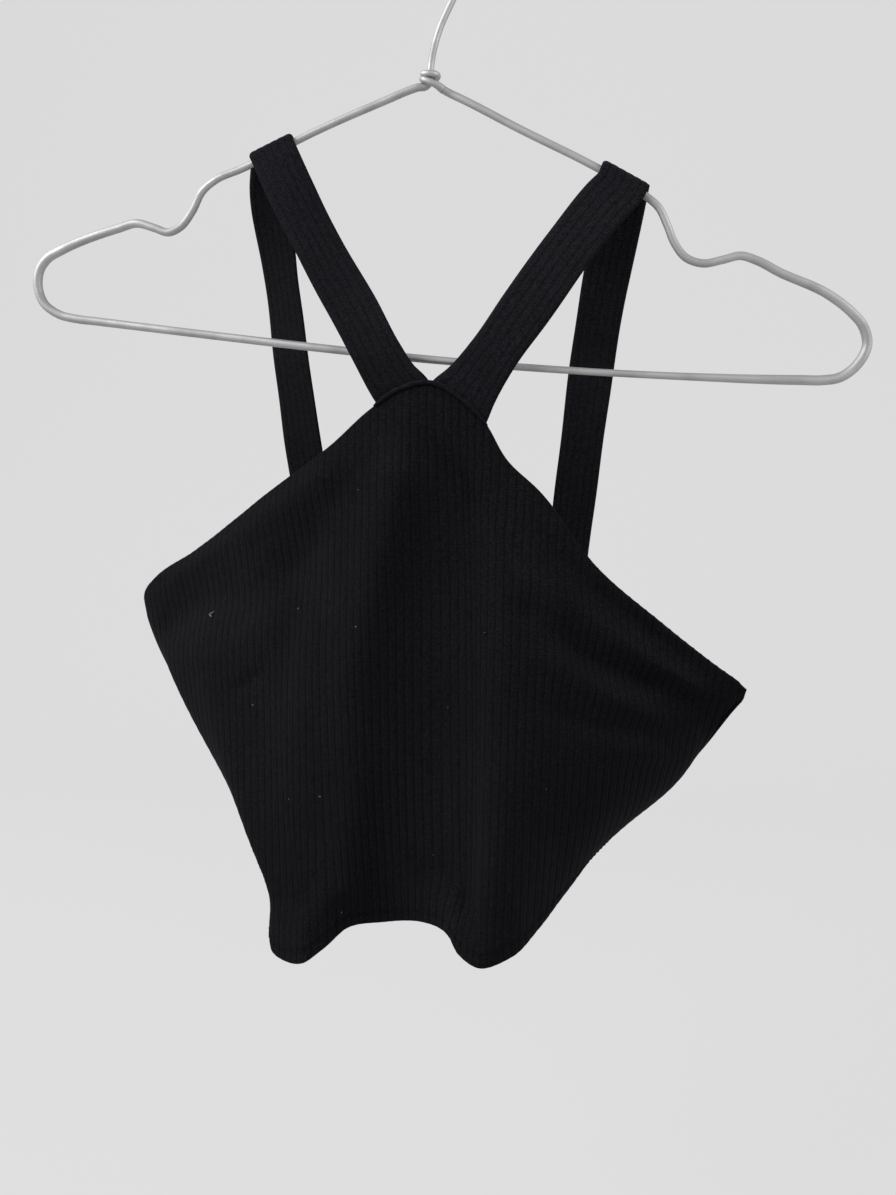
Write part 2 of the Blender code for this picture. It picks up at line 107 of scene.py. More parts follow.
BACK_BULGE = [
    (0.0, 16, 3, 0.62, 0.0), (0.1, 10, 8, 0.7, 0.0), (0.5, 0, -2, 1.0, 0.0),
    (0.9, -6, 6, 1.4, 3.5), (1.0, -12, 2, 1.9, 4.5),
]
BACK_FOLDS = [
    (((0.04, 0.60), (0.18, 0.78), (0.34, 0.90)), 8.0, -2.4),
    (((0.66, 0.88), (0.82, 0.74), (0.95, 0.55)), 8.0, -2.4),
    (((0.40, 0.80), (0.50, 0.83), (0.58, 0.84)), 7.0, -1.6),
    (((0.06, 0.48), (0.18, 0.62), (0.28, 0.74)), 7.0, 1.4),
    (((0.10, 0.40), (0.19, 0.46), (0.26, 0.56)), 5.5, -1.0),
    (((0.72, 0.72), (0.84, 0.60), (0.94, 0.46)), 7.0, 1.3),
    (((0.74, 0.56), (0.83, 0.46), (0.90, 0.40)), 5.5, -0.9),
    (((0.46, 0.04), (0.48, 0.30), (0.50, 0.66)), 12.0, -2.0),
    (((0.33, 0.03), (0.36, 0.26), (0.38, 0.52)), 12.0, 1.7),
    (((0.61, 0.03), (0.595, 0.26), (0.58, 0.55)), 12.0, 1.7),
    (((0.30, 0.86), (0.46, 0.90), (0.62, 0.91)), 5.0, 0.8),
    (((0.20, 0.05), (0.22, 0.22), (0.23, 0.34)), 8.0, -0.9),
]
# The rib that hangs straight down from the neck, and how much of the depth at the sides spreads the ribs
CENTRE_RIB = -9.0
SIDE_SPREAD = 0.30
# How far the rib lines are continued past the cloth's own width, as a share of it
MARGIN = 0.5
# Outward direction of each side seam at the hem and at the underarm, and how far from it the cloth follows
SEAM_LEFT = ((-0.95, 0.30, 0.0), (-1.0, 0.0, 0.0))
SEAM_RIGHT = ((0.95, 0.30, 0.0), (1.0, 0.0, 0.0))
SEAM_BLEND = 0.03
# A fold fades over this length at its ends, down to this share of its rise
FOLD_FADE = 16.0
FOLD_END = 0.25
FOLD_STEPS = 26
# Level at which the tuck above the hem is deepest
TUCK_LEVEL = 0.13
# Samples along a curve, across and up a panel, and for a panel's mean height
CURVE_SAMPLES = 1200
SHARE_SAMPLES = 361
LEVEL_SAMPLES = 61
HEIGHT_SAMPLES = 169

# Strap centre lines from the neck over the wire to the inside of the back: x, y, z, slope, yaw, width
STRAP_LEFT = [
    (-6.4, -9.8, -240.5, 25, 0, 27), (-10.4, -10.5, -233.8, 25, 0, 27), (-15.3, -12.0, -227.5, 26, 1, 25),
    (-22.5, -14.5, -214.9, 28, 6, 23.5), (-33.4, -14.5, -194.3, 29, 18, 23.5),
    (-50.2, -10.5, -166.2, 29, 26, 23), (-66.2, -6.3, -136.5, 25, 14, 22.5),
    (-73.6, -3.7, -121.4, 22.5, 2, 22.5), (-75.6, -2.5, -117.6, 22.5, 0, 22.5),
    (-76.1, 0.0, -116.6, 22.5, 0, 22.5), (-75.8, 2.5, -117.6, 22, 0, 22.5),
    (-75.8, 3.8, -121.8, 20, 0, 22.5), (-79.6, 9.0, -136.0, 8, -12, 22.5),
    (-81.1, 24.0, -167.3, 4, -22, 22), (-78.3, 40.0, -234.3, 2, -14, 22),
    (-74.6, 49.0, -285.6, -2, -6, 22), (-66.8, 51.0, -353.4, -9, 1, 22),
]
STRAP_RIGHT = [
    (10.4, -10.0, -243.5, -36, 0, 32), (15.6, -10.8, -236.8, -36, 0, 32), (21.2, -12.1, -229.6, -36, 0, 27.5),
    (31.7, -14.5, -215.4, -36, 0, 23.8), (46.1, -14.5, -195.4, -36, 0, 23.8),
    (67.0, -10.0, -166.2, -35, -4, 23.8), (81.8, -6.2, -147.5, -32, -4, 23.8),
    (88.6, -3.9, -140.0, -29, 0, 23.4), (90.1, -2.7, -136.0, -29, 0, 23.4),
    (90.5, 0.0, -134.8, -29, 0, 23.4), (90.2, 2.7, -136.0, -28, 0, 23.4),
    (89.4, 4.0, -140.4, -24, 0, 23.4), (87.4, 9.0, -154.0, -10, 6, 22.8),
    (81.8, 25.0, -184.7, -6, 8, 22.5), (77.9, 35.0, -212.6, -4, 6, 22.5),
    (72.0, 44.0, -265.5, -3, 2, 22), (61.4, 49.1, -369.1, -4, 0, 22),
]

# One bent wire in the plane of the hanger: x, z
LOOP = [
    (-20.0, -99.0), (-51.9, -110.5), (-91.6, -127.0), (-104.0, -131.4),
    (-110.5, -136.0), (-116.5, -145.5), (-122.5, -152.2), (-129.0, -154.8), (-136.0, -152.6),
    (-145.0, -150.2), (-155.0, -152.4), (-186.3, -162.3), (-192.0, -165.0), (-197.2, -170.6),
    (-199.0, -178.2), (-196.4, -187.0), (-188.4, -192.8), (-180.0, -194.9), (-169.0, -196.3),
    (-113.0, -203.3), (-54.0, -210.4), (0.0, -216.3), (57.6, -221.2), (126.3, -225.3),
    (172.1, -226.9), (182.3, -227.0), (189.0, -226.0), (196.0, -221.0), (200.4, -211.5),
    (198.0, -203.1), (192.0, -196.5), (182.8, -189.6), (160.0, -179.0), (150.0, -173.8),
    (143.0, -171.6), (135.0, -173.2), (126.4, -174.6), (118.4, -171.8), (113.2, -165.4),
    (109.6, -157.4), (105.6, -149.8), (99.6, -144.6), (77.8, -132.0), (42.1, -114.0),
    (15.0, -99.9),
]
STEM = [(0.5, -89.5), (0.8, -86.0), (2.0, -79.0), (4.7, -70.4), (10.9, -58.0), (18.2, -45.0), (23.2, -34.0)]
# The wire looks thinner at the hook and thicker at its pressed ends: share of the length, share of the radius
PRESSED = [
    (0.0, 0.93), (0.12, 0.90), (0.19, 1.06), (0.245, 1.20), (0.31, 1.09), (0.48, 1.03), (0.63, 0.92),
    (0.70, 1.22), (0.76, 1.12), (0.86, 0.93), (1.0, 0.93),
]
STEM_SHARE = 0.82
HOOK_RADIUS = 25.0
HOOK_FROM = -8
HOOK_TO = 196
HOOK_STEP = 6
LOOP_SAMPLES = 660
STEM_SAMPLES = 60
HOOK_SAMPLES = 220
WRAP_SAMPLES = 150
WIRE_SIDES = 20
# Share of the wire's thickness once it wraps round the stem
WRAP_SHARE = 0.8
# At the collar the left arm bends up into the stem, and the right arm's end wraps round it
LOOP_START = [
    (0.6, 0, -87.5), (0.3, 0.1, -90.8), (-0.5, 0.4, -93.0), (-2.3, 0.5, -93.9), (-4.7, 0.2, -94.0),
    (-8.0, 0, -94.9),
]
LOOP_END = [(9.0, 0, -97.0), (6.4, -0.8, -95.7)]
WRAP = [
    (6.4, -0.8, -95.7), (4.2, -2.3, -94.3), (0.9, -3.2, -92.9), (-2.0, -2.4, -91.6), (-3.0, 0.3, -90.6),
    (-1.9, 2.7, -90.1), (0.7, 3.3, -89.9), (3.2, 2.1, -89.8), (3.9, -0.2, -89.6), (2.9, -2.4, -89.5),
    (0.6, -3.2, -89.4), (-1.8, -2.4, -89.2), (-2.7, -1.2, -89.0),
]

# Specks of lint on the front: share of the width, level, size, turn
LINT = [
    (0.20, 0.589, 0.50, 0.4), (0.305, 0.321, 0.50, 1.2), (0.94, 0.065, 0.45, 0.2),
    (0.42, 0.88, 0.20, 0.9), (0.60, 0.62, 0.22, 2.1), (0.70, 0.36, 0.20, 0.1),
    (0.52, 0.44, 0.20, 2.6), (0.24, 0.36, 0.20, 0.7), (0.47, 0.14, 0.22, 0.3),
]
LINT_RADIUS = 0.16
SNAG_PLACE = (0.155, 0.819)
SNAG_RADII = [0.13, 0.11]

# Rows of hem stitches in widths of the turned hem, gap between stitches, thread and height along one stitch
STITCH_ROWS = (0.78, 1.08)
STITCH_GAP = 0.45
THREAD_RADIUS = 0.17
STITCH_ARCH = np.array([-0.22, 0.10, 0.20, 0.10, -0.22])

# Rolled neck seam: share of the width where it starts and ends, and how much it is pressed flat
ROLL_SHARES = (0.452, 0.613)
ROLL_SAMPLES = 90
ROLL_SQUASH = 0.75

# Fin of cloth inside a side seam: levels of its ends, mean reach, and section as share of reach and height
FIN_LEVELS = (0.004, 0.955)
FIN_SAMPLES = 120
FIN_REACH = 2.6
FIN_SECTION = [
    (0.0, -0.9), (0.25, -1.6), (0.8, -0.85), (0.97, -0.5), (1.0, 0.0),
    (0.97, 0.5), (0.8, 0.85), (0.25, 1.6), (0.0, 0.9),
]

# Strap: rows along it, how much closer they are where it bends, and depth of its grooves
STRAP_ROWS = 210
STRAP_BEND_WEIGHT = 5
STRAP_GROOVE = 0.16
TANGENT_STEP = 0.5

# Columns on each rib, with their places across it and their heights
COLUMNS_PER_RIB = 5
RIB_PLACES = np.array([0.0, 0.13, 0.36, 0.64, 0.87])
RIB_PROFILE = np.array([0.0, 0.72, 1.0, 1.0, 0.72])
# Rows close to an edge, in widths of its turned cloth, and rows between the two edges
EDGE_DEPTHS = np.array([0.0, 0.12, 0.30, 0.52, 0.76, 0.92, 1.0, 1.10, 1.26])
FRONT_ROWS = 66
BACK_ROWS = 44
COARSE_ROWS = 9
# Gap between a panel's side seam and its nearest rib, at the left and the right underarm
CORNER_GAPS = (1.2, 2.6)
# Least slant of an edge against the ribs, and the largest share of a column that is turned
LEAST_SLANT = 0.42
MOST_TURNED = 0.30
# The turned cloth ends at this many of its widths, over this span, and is thicker by this much
TURN_END = 1.12
TURN_SPAN = 0.24
TURN_EXTRA = 0.85
# Depth of the dips at the hem's stitches, the side seams and the upper edges, and unevenness of the hem
STITCH_DIP = 0.22
SEAM_DIP = 0.45
EDGE_DIP = 0.16
PUCKER = 0.10
RIM_ANGLES = np.radians([60, 20, -20, -60])
RIM_BULGE = 0.8

CAMERA_PLACE = (0.0773, -0.4876, -0.2455)
CAMERA_TURN = (80.0, 0.0, 8.0)
CAMERA_LENS = 30.126
CAMERA_SENSOR = 36.0
# Lamps in metres: place, aim, size
LAMPS = {
    "soft_key": ((-1.24, -0.66, 0.58), (-0.02, 0.0, -0.36), 1.10),
    "side_fill": ((1.50, -0.55, 0.30), (0.0, 0.0, -0.36), 1.0),
}
# Backdrop: a floor that bends up into a wall
BACKDROP_HALF_WIDTH = 3600.0
BACKDROP_FRONT = -3200.0
BACKDROP_FLOOR = -800.0
BACKDROP_WALL = 1800.0
BACKDROP_TOP = 2600.0
BACKDROP_BEND = 900.0
BEND_STEP = 5

# Distance between neighbouring nodes in a material's layout
NODE_STEP = (190, -170)
THREAD_TWIST = 12.566


def number_of(name, description, default, low, high):
    """A number of ribs that a user can change."""
    return bpy.props.IntProperty(name=name, description=description, default=default, min=low, max=high)


def length_of(name, description, default, low):
    """A length that a user can change, given in millimetres."""
    return bpy.props.FloatProperty(
        name=name, description=description, default=default * MM, min=low * MM, unit="LENGTH")


def colour_of(name, description, *shades):
    """A colour that a user can change."""
    return bpy.props.FloatVectorProperty(
        name=name, description=description, subtype="COLOR", size=3, default=shades, min=0.0, max=1.0)


def strength_of(name, description, default, unit="NONE"):
    """A strength of light that a user can change."""
    return bpy.props.FloatProperty(name=name, description=description, default=default, min=0.0, unit=unit)


class ClothSizes(bpy.types.PropertyGroup):
    """Sizes of the knitted cloth"""

    front_ribs: number_of("Front ribs", "Ribs along the front's upper edge", 84, 20, 120)
    back_ribs: number_of("Back ribs", "Ribs along the back's upper edge", 84, 20, 120)
    strap_ribs: number_of("Strap ribs", "Lengthwise ribs on each strap", 6, 3, 12)
    wall: length_of("Wall", "Thickness of the cloth under a groove", 1.1, 0.5)
    rib_rise: length_of("Rib rise", "Height of a rib over its groove", 0.30, 0.0)
    turn: length_of("Turned edge", "Width of the turned hem and edges", 6.5, 2.0)
    strap_thick: length_of("Strap thickness", "Thickness of the folded strap", 2.0, 1.0)
    roll: length_of("Neck roll", "Radius of the rolled neck seam", 1.3, 0.5)
    stitch: length_of("Stitch", "Length of one hem stitch", 2.7, 1.0)


class ClothColours(bpy.types.PropertyGroup):
    """Colours of the knitted cloth"""

    knit: colour_of("Knit", "Yarn in the open", 0.0098, 0.0094, 0.0120)
    # Painted shade: the yarn between the ribs gets this darker colour in place of the shade that falls in the
    # grooves.
    groove: colour_of("Groove", "Yarn deep between the ribs", 0.0080, 0.0076, 0.0098)
    faded: colour_of("Faded", "Yarn where wear has made it fuzzy", 0.0150, 0.0146, 0.0168)
    thread: colour_of("Thread", "Thread of the hem's stitches", 0.0052, 0.0050, 0.0064)
    lint: colour_of("Lint", "Pale fluff on the cloth", 0.42, 0.40, 0.37)


class HangerLook(bpy.types.PropertyGroup):
    """Size and colour of the hanger's wire"""

    radius: length_of("Wire radius", "Radius of the wire", 1.9, 0.5)
    steel: colour_of("Wire", "Colour of the wire", 0.49, 0.49, 0.495)
    worn: colour_of("Worn wire", "Colour of its dull stretches", 0.40, 0.40, 0.405)


class StudioLook(bpy.types.PropertyGroup):
    """Backdrop and light"""

    paper: colour_of("Paper", "Colour of the floor and wall", 0.10, 0.10, 0.10)
    glow: strength_of("Paper glow", "Even brightness of the lit paper", 0.660)
    sky: strength_of("Room light", "Strength of the pale room in reflections", 0.70)
    fill: strength_of("Shadow fill", "Strength of the room's light on matte surfaces", 0.14)
    key: strength_of("Soft light", "Power of the large lamp at the left", 30.5, "POWER")
    side: strength_of("Side light", "Power of the weaker lamp at the right", 14.5, "POWER")


def smooth(knots, rows, at):
    """Smooth curve through the rows, read at the places in at."""
    knots = np.asarray(knots, float)
    rows = np.asarray(rows, float)
    shape = np.shape(at)
    at = np.clip(np.asarray(at, float).ravel(), knots[0], knots[-1])
    gaps = np.diff(knots)
    slopes = np.diff(rows, axis=0) / gaps[:, None]
    tangents = np.empty_like(rows)
    tangents[0] = slopes[0]
    tangents[-1] = slopes[-1]
    before = gaps[:-1, None]
    after = gaps[1:, None]
    tangents[1:-1] = (slopes[:-1] * after + slopes[1:] * before) / (before + after)
    cell = np.clip(np.searchsorted(knots, at, side="right") - 1, 0, len(gaps) - 1)
    span = gaps[cell][:, None]
    k = (at - knots[cell])[:, None] / span
    first = rows[cell] * (1 + 2 * k) * (1 - k) ** 2 + rows[cell + 1] * k**2 * (3 - 2 * k)
    second = tangents[cell] * k * (1 - k) ** 2 - tangents[cell + 1] * k**2 * (1 - k)
    return (first + span * second).reshape(*shape, rows.shape[1])


def lengths(rows, axes):
    """Length run through at each row, measured in the named axes."""
    steps = np.diff(np.asarray(rows, float)[:, axes], axis=0)
    return np.concatenate([[0.0], np.cumsum(np.linalg.norm(steps, axis=1))])


def read_along(run, rows, at):
    """Points of the rows at lengths along their run."""
    return np.stack([np.interp(at, run, rows[:, axis]) for axis in range(3)], axis=-1)


def even_curve(rows, axes, shares):
    """Points at even shares of the curve's length, measured in the named axes."""
    rows = np.asarray(rows, float)
    knots = lengths(rows, [0, 1, 2])
    fine = smooth(knots, rows, np.linspace(0, knots[-1], CURVE_SAMPLES))
    run = lengths(fine, axes)
    return read_along(run, fine, np.asarray(shares) * run[-1])


def unit(vectors):
    """The same directions with length 1."""
    return vectors / np.maximum(np.linalg.norm(vectors, axis=-1, keepdims=True), 1e-12)


def grid_normals(points):
    """Outward directions on a grid of points."""
    return unit(np.cross(np.gradient(points, axis=1), np.gradient(points, axis=0)))


def dip(at, place, width):
    """Soft dip or rise from 0 to 1 at a place."""
    return np.exp(-(((at - place) / width) ** 2))


class Panel:
    """One cut piece of cloth, as tables of its hem, upper edge, push, folds and seams."""

    def __init__(self, hem, edge, bulge, folds, seams):
        self.hem = hem
        self.edge = edge
        self.bulge = np.asarray(bulge, float)
        self.seams = seams
        shares = np.linspace(0, 1, HEIGHT_SAMPLES)
        gap = even_curve(edge, [0, 1], shares) - even_curve(hem, [0, 1, 2], shares)
        self.size = np.array([lengths(hem, [0, 1, 2])[-1], np.linalg.norm(gap, axis=1).mean()])
        self.folds = [(self.fold_line(places), half, rise) for places, half, rise in folds]
        self.shares = np.linspace(0, 1, SHARE_SAMPLES)
        self.levels = np.linspace(0, 1, LEVEL_SAMPLES)
        self.rib_runs = self.hang_ribs()

    def fold_line(self, places):
        """Smooth line of a fold in millimetres across and up the panel."""
        rows = np.asarray(places, float) * self.size
        knots = lengths(rows, [0, 1])
        return smooth(knots, rows, np.linspace(0, knots[-1], FOLD_STEPS))

    def form(self, share, level):
        """Points of the smooth form at a share of the width and a level above the hem."""
        hem = even_curve(self.hem, [0, 1, 2], share)
        edge = even_curve(self.edge, [0, 1], share)
        push = smooth(self.bulge[:, 0], self.bulge[:, 1:3], share)
        lean = np.interp(share, self.bulge[:, 0], self.bulge[:, 3])
        low = np.maximum(lean, 1)
        high = np.maximum(1 / lean, 1)
        peak = low / (low + high)
        weight = (level / peak) ** low * ((1 - level) / (1 - peak)) ** high
        points = hem * (1 - level)[..., None] + edge * level[..., None]
        points[..., :2] += push * weight[..., None]
        near_hem = (level / TUCK_LEVEL) ** 2
        tuck = np.interp(share, self.bulge[:, 0], self.bulge[:, 4])
        points[..., 0] += tuck * near_hem * np.exp(1 - near_hem)
        return points

    def fold_push(self, share, level):
        """Rise of the cloth from its folds."""
        flat = np.stack([share, level], axis=-1) * self.size
        total = np.zeros_like(share)
        for line, half, rise in self.folds:
            nearest = np.full(share.shape, np.inf)
            place = np.zeros_like(share)
            run = lengths(line, [0, 1])
            for k in range(len(line) - 1):
                way = line[k + 1] - line[k]
                part = np.clip(((flat - line[k]) @ way) / (way @ way), 0, 1)
                gap = np.linalg.norm(flat - line[k] - part[..., None] * way, axis=-1)
                closer = gap < nearest
                nearest = np.where(closer, gap, nearest)
                place = np.where(closer, run[k] + part * (run[k + 1] - run[k]), place)
            to_end = np.minimum(place, run[-1] - place) / min(FOLD_FADE, run[-1] / 2)
            fade = FOLD_END + (1 - FOLD_END) * np.clip(to_end, 0, 1) ** 1.5
            total += rise * fade * dip(nearest, 0, half)
        return total

    def surface(self, share, level):
        """Points and outward normals on a grid of shares and levels."""
        points = self.form(share, level)
        points = points + grid_normals(points) * self.fold_push(share, level)[..., None]
        normals = grid_normals(points)
        for seam, near in zip(self.seams, (share, 1 - share)):
            at_hem, at_underarm = np.array(seam)
            turn = unit(at_hem * (1 - level)[..., None] + at_underarm * level[..., None])
            blend = np.clip(1 - near / SEAM_BLEND, 0, 1)[..., None]
            blend = blend * blend * (3 - 2 * blend)
            normals = unit(normals * (1 - blend) + turn * blend)
        return points, normals

    def hang_ribs(self):
        """Distance from the centre rib at each level and share, along the cloth as it rounds the sides."""
        share, level = np.meshgrid(self.shares, self.levels)
        points = self.form(share, level)
        step = np.diff(points, axis=1)
        run = np.cumsum(np.sqrt(step[..., 0] ** 2 + SIDE_SPREAD * step[..., 1] ** 2), axis=1)
        run = np.concatenate([np.zeros((len(run), 1)), run], axis=1)
        way = np.sign(points[-1, -1, 0] - points[-1, 0, 0])
        middle = slice(len(self.shares) // 4, 3 * len(self.shares) // 4)
        for k in range(len(run)):
            run[k] -= np.interp(way * CENTRE_RIB, way * points[k, middle, 0], run[k, middle])
        return run

    def rib_lines(self, places):
        """Start level of each rib line, and its share of the width at each level."""
        lines = np.empty((len(self.levels), len(places)))
        shares = np.concatenate([[-MARGIN], self.shares, [1 + MARGIN]])
        for k, run in enumerate(self.rib_runs):
            first = run[0] - MARGIN * (run[1] - run[0]) * (len(run) - 1)
            last = run[-1] + MARGIN * (run[-1] - run[-2]) * (len(run) - 1)
            lines[k] = np.interp(places, np.concatenate([[first], run, [last]]), shares)
        start = np.zeros(len(places))
        for edge, way in ((self.rib_runs[:, 0], 1), (self.rib_runs[:, -1], -1)):
            cut = way * places < way * edge[0]
            start[cut] = np.interp(-way * places[cut], -way * edge, self.levels)
        return start, lines


def front_panel():
    """The front's cut and folds."""
    return Panel(FRONT_HEM, FRONT_EDGE, FRONT_BULGE, FRONT_FOLDS, (SEAM_LEFT, SEAM_RIGHT))


def back_panel():
    """The back's cut and folds."""
    return Panel(BACK_HEM, BACK_EDGE, BACK_BULGE, BACK_FOLDS, (SEAM_RIGHT, SEAM_LEFT))


def cloth_rows(panel, ribs, middle_rows, turn, gaps):
    """Grid of shares and levels with each column on a rib's line and rows close together at both edges."""
    rib = np.append((np.arange(ribs)[:, None] + RIB_PLACES).ravel(), ribs)
    top = panel.rib_runs[-1]
    places = top[0] + gaps[0] + (top[-1] - top[0] - sum(gaps)) * rib / ribs
    start, lines = panel.rib_lines(places)

    def shares_at(level):
        share = [np.interp(level[:, k], panel.levels, lines[:, k]) for k in range(len(rib))]
        return np.clip(np.stack(share, axis=1), 0, 1)

    level = start[None] + (1 - start[None]) * np.linspace(0, 1, COARSE_ROWS)[:, None]
    points = panel.form(shares_at(level), level)
    run = np.linalg.norm(np.diff(points, axis=0), axis=2).sum(axis=0)

    def turned_share(row, inward):
        """Share of each column that is turned at an edge, larger where the edge is slanted."""
        edge = unit(np.gradient(points[row], axis=0))
        way = unit(points[inward] - points[row])
        slant = 1 / np.clip(np.linalg.norm(np.cross(edge, way), axis=1), LEAST_SLANT, 1)
        return np.minimum(turn * slant / run, MOST_TURNED)

    turned_low = turned_share(0, 1)
    turned_high = turned_share(-1, -2)
    low = EDGE_DEPTHS[:, None] * turned_low[None]
    high = 1 - EDGE_DEPTHS[::-1][:, None] * turned_high[None]
    between = np.linspace(0, 1, middle_rows + 2)[1:-1][:, None]
    at = np.concatenate([low, low[-1] + (high[0] - low[-1]) * between, high])
    # Rows of a column that starts at the seam fall back into line with their neighbours higher up
    power = np.clip(0.8 / np.maximum(start, 0.001), 1, 4)
    level = at + start[None] * (1 - at) ** power[None]
    return rib, shares_at(level), level, at / turned_low[None], (1 - at) / turned_high[None], start


def cloth_sides(panel, grid, sizes):
    """Points of the form, outside and inside of the cloth, and each column's height on its rib."""
    rib, share, level, from_low, from_high, start = grid
    points, normals = panel.surface(share, level)
    profile = RIB_PROFILE[np.arange(len(rib)) % COLUMNS_PER_RIB][None]
    at_hem = (start <= 0)[None]
    turned_low = np.where(at_hem, np.clip((TURN_END - from_low) / TURN_SPAN, 0, 1), 0)
    turned_high = np.clip((TURN_END - from_high) / TURN_SPAN, 0, 1)
    turned = np.maximum(turned_low, turned_high)
    stitch_dip = np.where(at_hem, dip(from_low, 0.92, 0.10), 0)
    seam_dip = np.where(at_hem, 0, dip(from_low, 0, 0.16))
    edge_dip = dip(from_high, 0.62, 0.10)
    soft = np.clip(np.minimum(from_low, from_high) / 0.30, 0, 1)
    lift = sizes.rib_rise / MM * profile * (0.55 + 0.45 * soft)
    lift = lift - STITCH_DIP * stitch_dip - SEAM_DIP * seam_dip - EDGE_DIP * edge_dip
    wave = np.sin(rib * 0.9 + level * 7.0) * np.sin(rib * 0.37 + 1.3)
    lift = lift + PUCKER * wave * turned
    depth = sizes.wall / MM - 0.12 + 0.38 * (1 - profile) + TURN_EXTRA * turned
    return points, points + normals * lift[..., None], points - normals * depth[..., None], profile


def rim(points, outer, inner, row, inward):
    """Rounded fold between the outside and the inside of an edge."""
    up = outer[row] - inner[row]
    half = np.linalg.norm(up, axis=1, keepdims=True) / 2
    beyond = unit(points[row] - points[inward])
    middle = (outer[row] + inner[row]) / 2
    return np.stack([
        middle + half * (math.sin(x) * unit(up) + math.cos(x) * beyond * RIM_BULGE) for x in RIM_ANGLES])


def side_caps(index, rows, rims):
    """Faces that close the shell at its two side seams."""
    caps = []
    for column, way in ((0, 1), (-1, -1)):
        ring = index[:, column]
        inside = ring[2 * rows + rims - 1:rows + rims - 1:-1]
        for k in range(rows - 1):
            caps.append((ring[k], ring[k + 1], inside[k + 1], inside[k])[::way])
        caps.append(tuple(ring[rows - 1:rows + rims + 1])[::way])
        caps.append((*ring[2 * rows + rims - 1:], ring[0])[::way])
    return caps


def cloth_mesh(name, panel, ribs, middle_rows, sizes, gaps):
    """Closed shell of rib knit with a turned hem and turned upper edges."""
    grid = cloth_rows(panel, ribs, middle_rows, sizes.turn / MM, gaps)
    points, outer, inner, profile = cloth_sides(panel, grid, sizes)
    high_rim = rim(points, outer, inner, -1, -2)
    low_rim = rim(points, outer, inner, 0, 1)[::-1]
    ring = np.concatenate([outer, high_rim, inner[::-1], low_rim])
    index = np.arange(ring.shape[0] * ring.shape[1]).reshape(ring.shape[:2])
    above = np.roll(index, -1, axis=0)
    faces = np.stack([index[:, :-1], index[:, 1:], above[:, 1:], above[:, :-1]], axis=-1).reshape(-1, 4)
    rows = len(outer)
    rims = len(high_rim)
    crest = np.repeat(profile, len(ring), axis=0)
    crest[rows + rims:2 * rows + rims] = 1 - profile
    across = np.tile(grid[0], len(ring))
    height = -ring[..., 2]
    caps = side_caps(index, rows, rims)
    return make_mesh(name, ring.reshape(-1, 3), faces, caps, across, height.ravel(), crest.ravel())


def make_mesh(name, points, quads, caps=(), across=None, along=None, crest=None):
    """Smooth mesh object from points in millimetres, with its coordinates and the height on the rib."""
    mesh = bpy.data.meshes.new(name)
    faces = [tuple(int(v) for v in face) for face in quads] + [tuple(int(v) for v in face) for face in caps]
    mesh.from_pydata((np.asarray(points) * MM).tolist(), [], faces)
    mesh.polygons.foreach_set("use_smooth", np.ones(len(mesh.polygons), bool))
    if across is not None:
        corner = np.empty(len(mesh.loops), np.int32)
        mesh.loops.foreach_get("vertex_index", corner)
        layer = mesh.uv_layers.new(name="rib_and_course")
        both = np.stack([across[corner], along[corner]], axis=1)
        layer.data.foreach_set("uv", both.astype(np.float32).ravel())
    if crest is not None:
        attribute = mesh.attributes.new("rib_crest", "FLOAT", "POINT")
        attribute.data.foreach_set("value", np.asarray(crest, np.float32))
    mesh.validate()
    mesh.update()
    made = bpy.data.objects.new(name, mesh)
    bpy.context.scene.collection.objects.link(made)
    return made


def tube_points(path, radius, sides, squash):
    """Rings of a round tube along the path; squash flattens it along its own turned axis."""
    path = np.asarray(path, float)
    tangent = unit(np.gradient(path, axis=0))
    start = np.array([0.0, 1.0, 0.0])
    if abs(tangent[0] @ start) > 0.9:
        start = np.array([0.0, 0.0, 1.0])
    up = start - tangent[0] * (start @ tangent[0])
    ups = np.empty_like(path)
    for k, way in enumerate(tangent):
        up = up - way * (up @ way)
        up = up / np.linalg.norm(up)
        ups[k] = up
    side = np.cross(tangent, ups)
    angles = np.linspace(0, 2 * math.pi, sides, endpoint=False)[None, :, None]
    radius = np.broadcast_to(radius, len(path))[:, None, None]
    return path[:, None] + radius * (np.cos(angles) * ups[:, None] * squash + np.sin(angles) * side[:, None])


def tube_faces(rings, sides, first=0):
    """Quads round a tube and the two end caps."""
    index = first + np.arange(rings * sides).reshape(rings, sides)
    nxt = np.roll(index, -1, axis=1)
    quads = np.stack([index[:-1], nxt[:-1], nxt[1:], index[1:]], axis=-1).reshape(-1, 4)
    return quads, [tuple(index[0][::-1]), tuple(index[-1])]


def tubes_object(name, paths, radii, sides, squash=1.0):
    """One object of several closed tubes; the along coordinate runs in millimetres."""
    points, quads, caps, across, along = [], [], [], [], []
    first = 0
    for path, radius in zip(paths, radii):
        rings = tube_points(path, radius, sides, squash)
        faces, ends = tube_faces(len(rings), sides, first)
        points.append(rings.reshape(-1, 3))
        quads.append(faces)
        caps += ends
        across.append(np.tile(np.linspace(0, 1, sides, endpoint=False), len(rings)))
        along.append(np.repeat(lengths(path, [0, 1, 2]), sides))
        first += len(rings) * sides
    points, quads, across, along = (np.concatenate(parts) for parts in (points, quads, across, along))
    return make_mesh(name, points, quads, caps, across, along)


def feed(tree, node, values):
    """Sets or links a node's inputs, by their names or numbers."""
    for socket, value in values.items():
        if hasattr(value, "is_output"):
            tree.links.new(value, node.inputs[socket])
        else:
            node.inputs[socket].default_value = value


def add_node(tree, kind, place, inputs=None, **settings):
    """One node at a place in the tree, with its settings and inputs."""
    node = tree.nodes.new(kind)
    node.location = (place[0] * NODE_STEP[0], place[1] * NODE_STEP[1])
    for key, value in settings.items():
        setattr(node, key, value)
    feed(tree, node, inputs or {})
    return node


